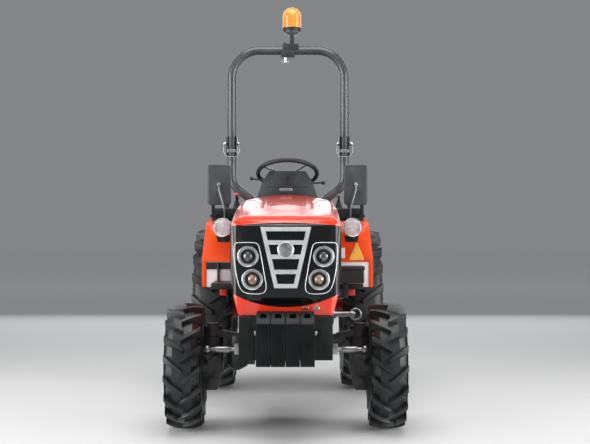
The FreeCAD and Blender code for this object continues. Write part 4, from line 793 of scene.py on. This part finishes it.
def pad_start(node, inset, lean=0.0):
    """A rounded slab inside the node's box. lean is how far its top lies behind its foot."""
    low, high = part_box(node)
    size = high - low
    shape = bmesh.new()
    depth = size.y - abs(lean)
    smaller = Matrix.Diagonal((size.x - 2 * inset, depth - 2 * inset, size.z - 2 * inset, 1))
    bmesh.ops.create_cube(shape, size=1.0, matrix=smaller)
    bmesh.ops.bevel(shape, geom=shape.edges[:], offset=min(depth, size.z) * 0.28, segments=4,
                    affect="EDGES", profile=0.5)
    middle = (low + high) / 2
    for vert in shape.verts:
        vert.co.y += lean * vert.co.z / size.z
        vert.co += middle
    mesh = bpy.data.meshes.new(node + "_start")
    shape.to_mesh(mesh)
    shape.free()
    return mesh


def stuffed(name, node, inset, cap, channels, across, lean=0.0):
    """A pad blown up by cloth pressure. channels are the places, along axis across, where it is sewn."""
    pad = piece(name, pad_start(node, inset, lean), seat_vinyl)
    grid = pad.modifiers.new("grid", "REMESH")
    grid.mode = "VOXEL"
    grid.voxel_size = 0.0055
    settled(pad)
    rest = [v.co.copy() for v in pad.data.vertices]
    cloth = pad.modifiers.new("cloth", "CLOTH")
    cloth.settings.use_pressure = True
    cloth.settings.uniform_pressure_force = 4.0
    cloth.settings.effector_weights.gravity = 0.0
    cloth.point_cache.frame_start = 1
    cloth.point_cache.frame_end = 20
    for step in range(1, 21):
        bpy.context.scene.frame_set(step)
    settled(pad)
    bpy.context.scene.frame_set(1)
    low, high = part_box(node)
    for vert, start in zip(pad.data.vertices, rest):
        move = vert.co - start
        if move.length > cap:
            move *= cap / move.length
        vert.co = start + move
        top = (vert.co.z - low.z) / (high.z - low.z)
        for line in channels:
            near = math.exp(-((vert.co[across] - line) / 0.006) ** 2)
            if across == 2:
                vert.co.y += 0.006 * near * (1 if vert.co.y < (low.y + high.y) / 2 + lean * 0.2 else -1)
            elif top > 0.5:
                vert.co.z -= 0.007 * near
    finer = pad.modifiers.new("finer", "SUBSURF")
    finer.levels = finer.render_levels = 1
    settled(pad, 180)
    stand_in(pad, node)
    return pad


cushion_low, cushion_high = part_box("seat_cushion")
cushion = stuffed("seat_cushion_pad", "seat_cushion", 0.008, 0.012, (-0.07, 0.0, 0.07), 0)
backrest = stuffed("seat_back_pad", "seat_back", 0.007, 0.01, (1.03, 1.09), 2, lean=0.042)

pad_skin = BVHTree.FromPolygons([v.co for v in cushion.data.vertices],
                                [f.vertices for f in cushion.data.polygons])
seam_point = (cushion_low + cushion_high) / 2
seam_point.z = cushion_high.z - 0.03
seam_steps = 72
loop = []
for k in range(seam_steps):
    turn = math.tau * k / seam_steps
    inwards = Vector((-math.cos(turn), -math.sin(turn), 0))
    loop.append(on_skin(pad_skin, seam_point - inwards * 0.4, inwards, -0.0005))
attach(bead("seat_piping", loop, 0.0028, seat_vinyl, closed=True), "chassis")

# ---- fender lamps, mirrors and marker
# Round work lamps with ribbed, frosted lenses, and mirrors in grey shells on grey arms. A plain amber
# triangle is stuck on the left fender, and the right one's pale plate carries a ribbed rubber strip.
shell_grey = surface(
    "shell_grey", ((0.024, 0.029, 0.03), (0.042, 0.048, 0.049)), (0.38, 0.5), scale=12.0,
    grain=(0.0003, 420.0))
dressed("front_lamps", black_plastic, 0.0015)
frosted = surface(
    "frosted_lens", ((0.42, 0.39, 0.39), (0.56, 0.52, 0.52)), (0.2, 0.34), scale=34.0, coat=0.4)
lamp_low, lamp_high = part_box("front_lamps")
shell_r, lens_r = 0.053, 0.05
lens_outline = [(0.0001, -0.004), (lens_r, -0.004), (lens_r, -0.001), (0.043, 0.002), (0.03, 0.0045),
                (0.015, 0.006), (0.0001, 0.0065)]
ring_outline = [(lens_r - 0.001, -0.02), (0.0532, -0.02), (0.0532, -0.001), (0.0515, 0.0015),
                (lens_r - 0.001, 0.0)]
work_parts = []
for side in (-1, 1):
    place = Vector((side * (lamp_high.x - shell_r), lamp_low.y + 0.0005, lamp_high.z - shell_r))
    rib = place + Vector((-0.042, -0.0045, 0))
    work_parts += [
        lathed("lens", lens_outline, 64, place, frosted, 60),
        lathed("ring", ring_outline, 64, place, silver_plate, 60),
        repeated(block("rib", rib, (0.0016, 0.003, 0.05), frosted), 15, frosted, step=(0.006, 0, 0))]
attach(merged("fender_lamp_lenses", work_parts), "chassis")

mirror_glass = surface(
    "mirror_glass", ((0.8, 0.82, 0.84), (0.84, 0.86, 0.88)), (0.02, 0.04), scale=6.0, metal=1.0)
mirror_half_x, mirror_half_z = 0.067, 0.117
for side, name in ((1, "left"), (-1, "right")):
    node = "mirror_" + name
    low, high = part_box(node)
    head_z = high.z - mirror_half_z
    foot_top = head_z - mirror_half_z
    dressed(node, shell_grey, 0.003, segments=3, places=[
        (spoke_grey, lambda c, z=head_z, y=low.y: c.y < y + 0.026 and c.z < z + 0.014),
        (black_paint, lambda c, z=foot_top: c.z < z - 0.002 and c.y > 0.168)])
    glass = block("mirror_glass_" + name, (side * 0.392, low.y + 0.0315 + 0.0265, head_z),
                  (2 * mirror_half_x - 0.016, 0.003, 2 * mirror_half_z - 0.016), mirror_glass, 0.014, 6,
                  lambda edge: abs(edge.verts[0].co.y - edge.verts[1].co.y) > 0.001)
    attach(glass, "chassis")
dressed("grab_rails", black_paint, 0.0)

marker_amber = surface(
    "marker_amber", ((0.8, 0.34, 0.03), (0.88, 0.46, 0.07)), (0.3, 0.4), scale=40.0, coat=0.2)
marker_rim = surface(
    "marker_rim", ((0.8, 0.46, 0.16), (0.86, 0.54, 0.24)), (0.3, 0.4), scale=40.0, coat=0.2)
marker_x = 0.398


def triangle(name, half, height, low, thick, finish):
    """An upright triangle with its corners cut, stood on the fender's front."""
    cut = 0.12
    outline = []
    corners = [Vector(c) for c in ((marker_x - half, low), (marker_x + half, low),
                                   (marker_x, low + height))]
    for k in range(3):
        here, before, after = corners[k], corners[k - 1], corners[(k + 1) % 3]
        tip = here.lerp(before, cut * 0.3).lerp(here.lerp(after, cut * 0.3), 0.5)
        outline += [here.lerp(before, cut), tip, here.lerp(after, cut)]
    return slab(name, outline, fender_front - thick, fender_front, finish)


marker = [triangle("rim", 0.045, 0.106, 0.8, 0.001, marker_rim),
          triangle("face", 0.04, 0.094, 0.803, 0.0018, marker_amber)]
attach(merged("triangle_marker", marker), "chassis")
plate_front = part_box("fender_plates")[0].y
strip_rubber = surface(
    "strip_rubber", ((0.012, 0.012, 0.013), (0.022, 0.022, 0.024)), (0.5, 0.65), scale=30.0)
strip_z, strip_from, strip_to = 0.767, 0.312, 0.47
rib = block("rib", (-strip_from - 0.004, plate_front - 0.003, strip_z), (0.006, 0.01, 0.04), strip_rubber,
            0.0012, 1)
ribs = repeated(rib, 18, strip_rubber, step=(-0.0088, 0, 0))
web = block("web", (-(strip_from + strip_to) / 2, plate_front - 0.001, strip_z),
            (strip_to - strip_from, 0.004, 0.036), strip_rubber)
fitted("ribbed_strip", "chassis", joined(ribs, web))

# ---- tail lamps
# Lamp boxes with a black plastic base and a lens that is half red and half amber, screwed to the fenders'
# back faces.
red_lens = surface(
    "red_lens", ((0.42, 0.008, 0.006), (0.5, 0.012, 0.008)), (0.1, 0.16), scale=60.0, coat=0.8)
amber_lens = surface(
    "amber_half", ((0.8, 0.24, 0.01), (0.88, 0.3, 0.02)), (0.1, 0.16), scale=60.0, coat=0.8)
tail_low, tail_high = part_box("tail_lamps")
dressed("tail_lamps", red_lens, 0.002, places=[
    (amber_lens, lambda c: abs(c.x) > tail_high.x - 0.042 and c.y > tail_low.y + 0.012),
    (black_plastic, lambda c: c.y < tail_low.y + 0.012)])

# ---- roll bar
# Steel tube under blue-grey paint, hinged half way up and folding backwards. Each hinge has a pin with a
# plated head and a wire loop to pull it by.
bar_paint = surface(
    "roll_bar_paint", ((0.026, 0.031, 0.034), (0.04, 0.046, 0.05)), (0.3, 0.42), scale=12.0, coat=0.3,
    grain=(0.0004, 260.0))
bar_joint = joint_place["roll_bar_fold"]
bar_half = 0.352
dressed("bar_posts", bar_paint, 0.001)
dressed("bar_hoop", bar_paint, 0.001, places=[
    (bright_steel, lambda c: abs(c.z - bar_joint.z) < 0.017 and abs(abs(c.x) - bar_half) > 0.03)])
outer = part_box("bar_hoop")[1].x - 0.006
inner = 2 * bar_half - outer
y, z = bar_joint.y - 0.006, bar_joint.z
half_loop = [(outer, y, z), (outer + 0.003, y - 0.022, z - 0.01), (outer + 0.003, y - 0.03, z - 0.045),
             (outer - 0.006, y - 0.032, z - 0.07), (outer - 0.028, y - 0.034, z - 0.082)]
loop = half_loop + [(outer + inner - x, y, z) for x, y, z in reversed(half_loop)]
rings = [bead("pin_loop", [(side * x, y, z) for x, y, z in loop], 0.0017, worn_steel) for side in (-1, 1)]
fitted("hinge_pin_rings", "roll_bar_hoop", joined(*rings))

# ---- beacon
# A black base with a grey collar, whose lighter band is a painted highlight, and a bright foot, under a
# dome of amber plastic. The dome screws onto the base and has upright flutes and a bulb inside.
base_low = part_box("beacon_mount")[0]
dome_low, dome_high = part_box("beacon_lens")
dome_r = (dome_high.x - dome_low.x) / 2
dome_foot = Matrix.Translation(((dome_low.x + dome_high.x) / 2, (dome_low.y + dome_high.y) / 2, dome_low.z))
dome_upright = dome_foot @ Matrix.Rotation(-math.pi / 2, 4, "Y")
# the collar's lighter grey band round the dark base is a painted highlight
collar_painted_highlight = surface(
    "collar_painted_highlight", ((0.055, 0.06, 0.056), (0.1, 0.105, 0.1)), (0.26, 0.38), scale=30.0, coat=0.3)
dressed("beacon_mount", black_plastic, 0.001, places=[
    (collar_painted_highlight, lambda c: dome_low.z - 0.048 < c.z < dome_low.z - 0.026),
    (bright_steel, lambda c: c.z < base_low.z + 0.026)])


def dome_arc(radius):
    """A quarter circle from the dome's wall to its top, as (radius, up)."""
    turns = [k * math.pi / 2 / 10 for k in range(11)]
    return [(radius * math.cos(a), straight + radius * math.sin(a)) for a in turns]


# clear amber plastic with a faint painted glow, standing in for light that passes through it
dome_finish = surface(
    "amber_plastic", ((0.84, 0.36, 0.06), (0.9, 0.45, 0.1)), (0.06, 0.12), scale=20.0, coat=0.8)
for socket, value in (("Transmission Weight", 0.55), ("IOR", 1.2), ("Emission Strength", 0.05),
                      ("Emission Color", (1.0, 0.42, 0.03, 1.0))):
    dome_finish.node_tree.nodes["Principled BSDF"].inputs[socket].default_value = value
dome_wall = 0.003
tall = dome_high.z - dome_low.z
straight = tall - dome_r
inside_r = dome_r - dome_wall
outline = [(dome_r, 0.0)] + dome_arc(dome_r)[:-1] + [(0.0001, tall), (0.0001, tall - dome_wall)]
outline += dome_arc(inside_r)[-2::-1] + [(inside_r, 0.0)]
shape = turned_x(outline, 64)
shape.transform(dome_upright)
stand_in(from_shape("beacon_dome", shape, dome_finish, 60), "beacon_lens")
flute = block("flute", (0, inside_r - 0.003, straight / 2 + 0.004), (0.0016, 0.004, straight - 0.004),
              dome_finish)
flutes = repeated(flute, 30, dome_finish, turn=(0, 0, math.tau / 30))
flutes.data.transform(dome_foot)
reflector_plate = surface(
    "reflector_plate", ((0.85, 0.8, 0.66), (0.95, 0.92, 0.82)), (0.05, 0.12), scale=30.0, metal=0.9)
shape = turned_x([(0.0001, 0.001), (0.026, 0.001), (0.024, 0.02), (0.012, 0.026), (0.012, 0.06),
                  (0.0001, 0.064)], 32)
shape.transform(dome_upright)
insides = merged("beacon_insides", [flutes, from_shape("bulb", shape, reflector_plate, 50)])
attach(insides, "roll_bar_hoop")

# ---- rear linkage
# Forged arms and rods in black paint, pinned to the back of the tractor. The threaded top link, the drawbar
# and the splined drive shaft are worn bare steel.
for node in ("lower_links", "lift_arms", "lift_rods"):
    dressed(node, black_paint, 0.0015)
for node in ("drawbar", "top_link", "pto_shaft"):
    dressed(node, worn_steel, 0.0012)
shaft_z, shaft_r, shaft_end, spline_count = 0.51982, 0.01745, 1.0, 6
groove = block_between("groove", (-0.0042, shaft_end - 0.062, shaft_r - 0.004),
                       (0.0042, shaft_end - 0.001, shaft_r + 0.0004), black_paint, 0.0003)
grooves = repeated(groove, spline_count, black_paint, turn=(0, math.tau / spline_count, 0))
grooves.data.transform(Matrix.Translation((0, 0, shaft_z)))
fitted("drive_shaft_splines", "chassis", grooves)
top_low, top_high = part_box("top_link")
link_foot = Vector((0, top_low.y + 0.022, top_high.z - 0.022))
link_end = Vector((0, 1.32, 0.69982))
along = (link_end - link_foot).normalized()
link_turn = along.to_track_quat("Y", "Z").to_matrix().to_4x4()
threads = []
for share in (0.12, 0.86):
    for k in range(-4, 5):
        ring = turned_y([(0.0098, -0.0015), (0.0114, 0.0), (0.0098, 0.0015), (0.009, 0.0)], 24, (0, 0, 0))
        at = link_foot.lerp(link_end, share) + along * 0.004 * k
        ring.transform(Matrix.Translation(at) @ link_turn)
        threads.append(from_shape("thread", ring, worn_steel))
fitted("top_link_threads", "chassis", joined(*threads))

# ---- floor, lights and camera
# A plain pale floor that grows paler far away, large soft lamps round the tractor, and a long lens in front
# of it, a metre above the floor.
floor_mesh = bpy.data.meshes.new("studio_floor")
reach, floor_z = 40.0, -0.001
floor_mesh.from_pydata([(x * reach, y * reach, floor_z) for x, y in ((-1, -1), (1, -1), (1, 1), (-1, 1))],
                       [], [(0, 1, 2, 3)])
floor_finish = surface(
    "studio_floor", ((0.5, 0.5, 0.5), (0.52, 0.52, 0.52)), (0.6, 0.7), scale=0.5, mirror=0.2)
floor_tree = floor_finish.node_tree
join = floor_tree.links.new
far = added(floor_tree, "VectorMath")
far.operation = "LENGTH"
join(floor_tree.nodes["Texture Coordinate"].outputs["Object"], far.inputs[0])
fade = added(floor_tree, "MapRange", From_Min=2.5, From_Max=14.0)
fade.interpolation_type = "SMOOTHSTEP"
join(far.outputs["Value"], fade.inputs["Value"])
paler = added(floor_tree, "Mix")
paler.data_type = "RGBA"
join(fade.outputs["Result"], paler.inputs["Factor"])
join(floor_tree.nodes["Mix"].outputs["Result"], paler.inputs["A"])
paler.inputs["B"].default_value = (0.96, 0.97, 0.98, 1.0)
join(paler.outputs["Result"], floor_tree.nodes["Principled BSDF"].inputs["Base Color"])
piece("studio_floor", floor_mesh, floor_finish)

sky = bpy.data.worlds.new("studio")
sky.use_nodes = True
glow = sky.node_tree.nodes["Background"].inputs
glow["Color"].default_value = (0.88, 0.91, 0.95, 1.0)
glow["Strength"].default_value = 0.26
bpy.context.scene.world = sky
bpy.context.scene.view_settings.view_transform = "Standard"


def soft_box(name, place, aim, size, power, shows=True):
    """A large square lamp aimed at a point. If it doesn't show, gloss has no reflection of it."""
    light = bpy.data.lights.new(name, "AREA")
    light.shape = "RECTANGLE"
    light.size, light.size_y = size
    light.energy = power
    holder = bpy.data.objects.new(name, light)
    bpy.context.scene.collection.objects.link(holder)
    holder.location = place
    holder.rotation_euler = (Vector(aim) - Vector(place)).to_track_quat("-Z", "Y").to_euler()
    holder.visible_glossy = shows
    holder.visible_camera = False


soft_box("overhead", (0.0, -0.9, 4.4), (0, -0.6, 0.8), (3.2, 3.6), 170)
soft_box("left_panel", (3.9, -3.5, 1.6), (0, -1.0, 0.9), (2.6, 2.8), 150)
soft_box("right_panel", (-3.9, -3.5, 1.6), (0, -1.0, 0.9), (2.6, 2.8), 165)
soft_box("left_strip", (4.4, -0.8, 1.8), (0, -0.2, 0.8), (1.2, 3.2), 110)
soft_box("right_strip", (-4.4, -0.8, 1.8), (0, -0.2, 0.8), (1.2, 3.2), 120)
soft_box("front_fill", (0.0, -6.4, 2.6), (0, -0.8, 0.8), (3.0, 2.0), 20, shows=False)
soft_box("behind", (0.0, 6.0, 2.9), (0, 0.0, 1.0), (8.0, 4.4), 150)

lens = bpy.data.cameras.new("camera")
camera = bpy.data.objects.new("camera", lens)
bpy.context.scene.collection.objects.link(camera)
lens.sensor_width = 36.0
frame_width, focal, rise = 590.0, 1214.0, 3.2
lens.lens = focal / frame_width * lens.sensor_width
lens.shift_y = rise / frame_width
camera_ahead, camera_height, camera_left = 6.0, 1.0, 0.043
camera.location = (camera_left, joint_place["front_wheel_left_turn"].y - camera_ahead, camera_height)
camera.rotation_euler = (math.pi / 2, 0, 0)
bpy.context.scene.camera = camera
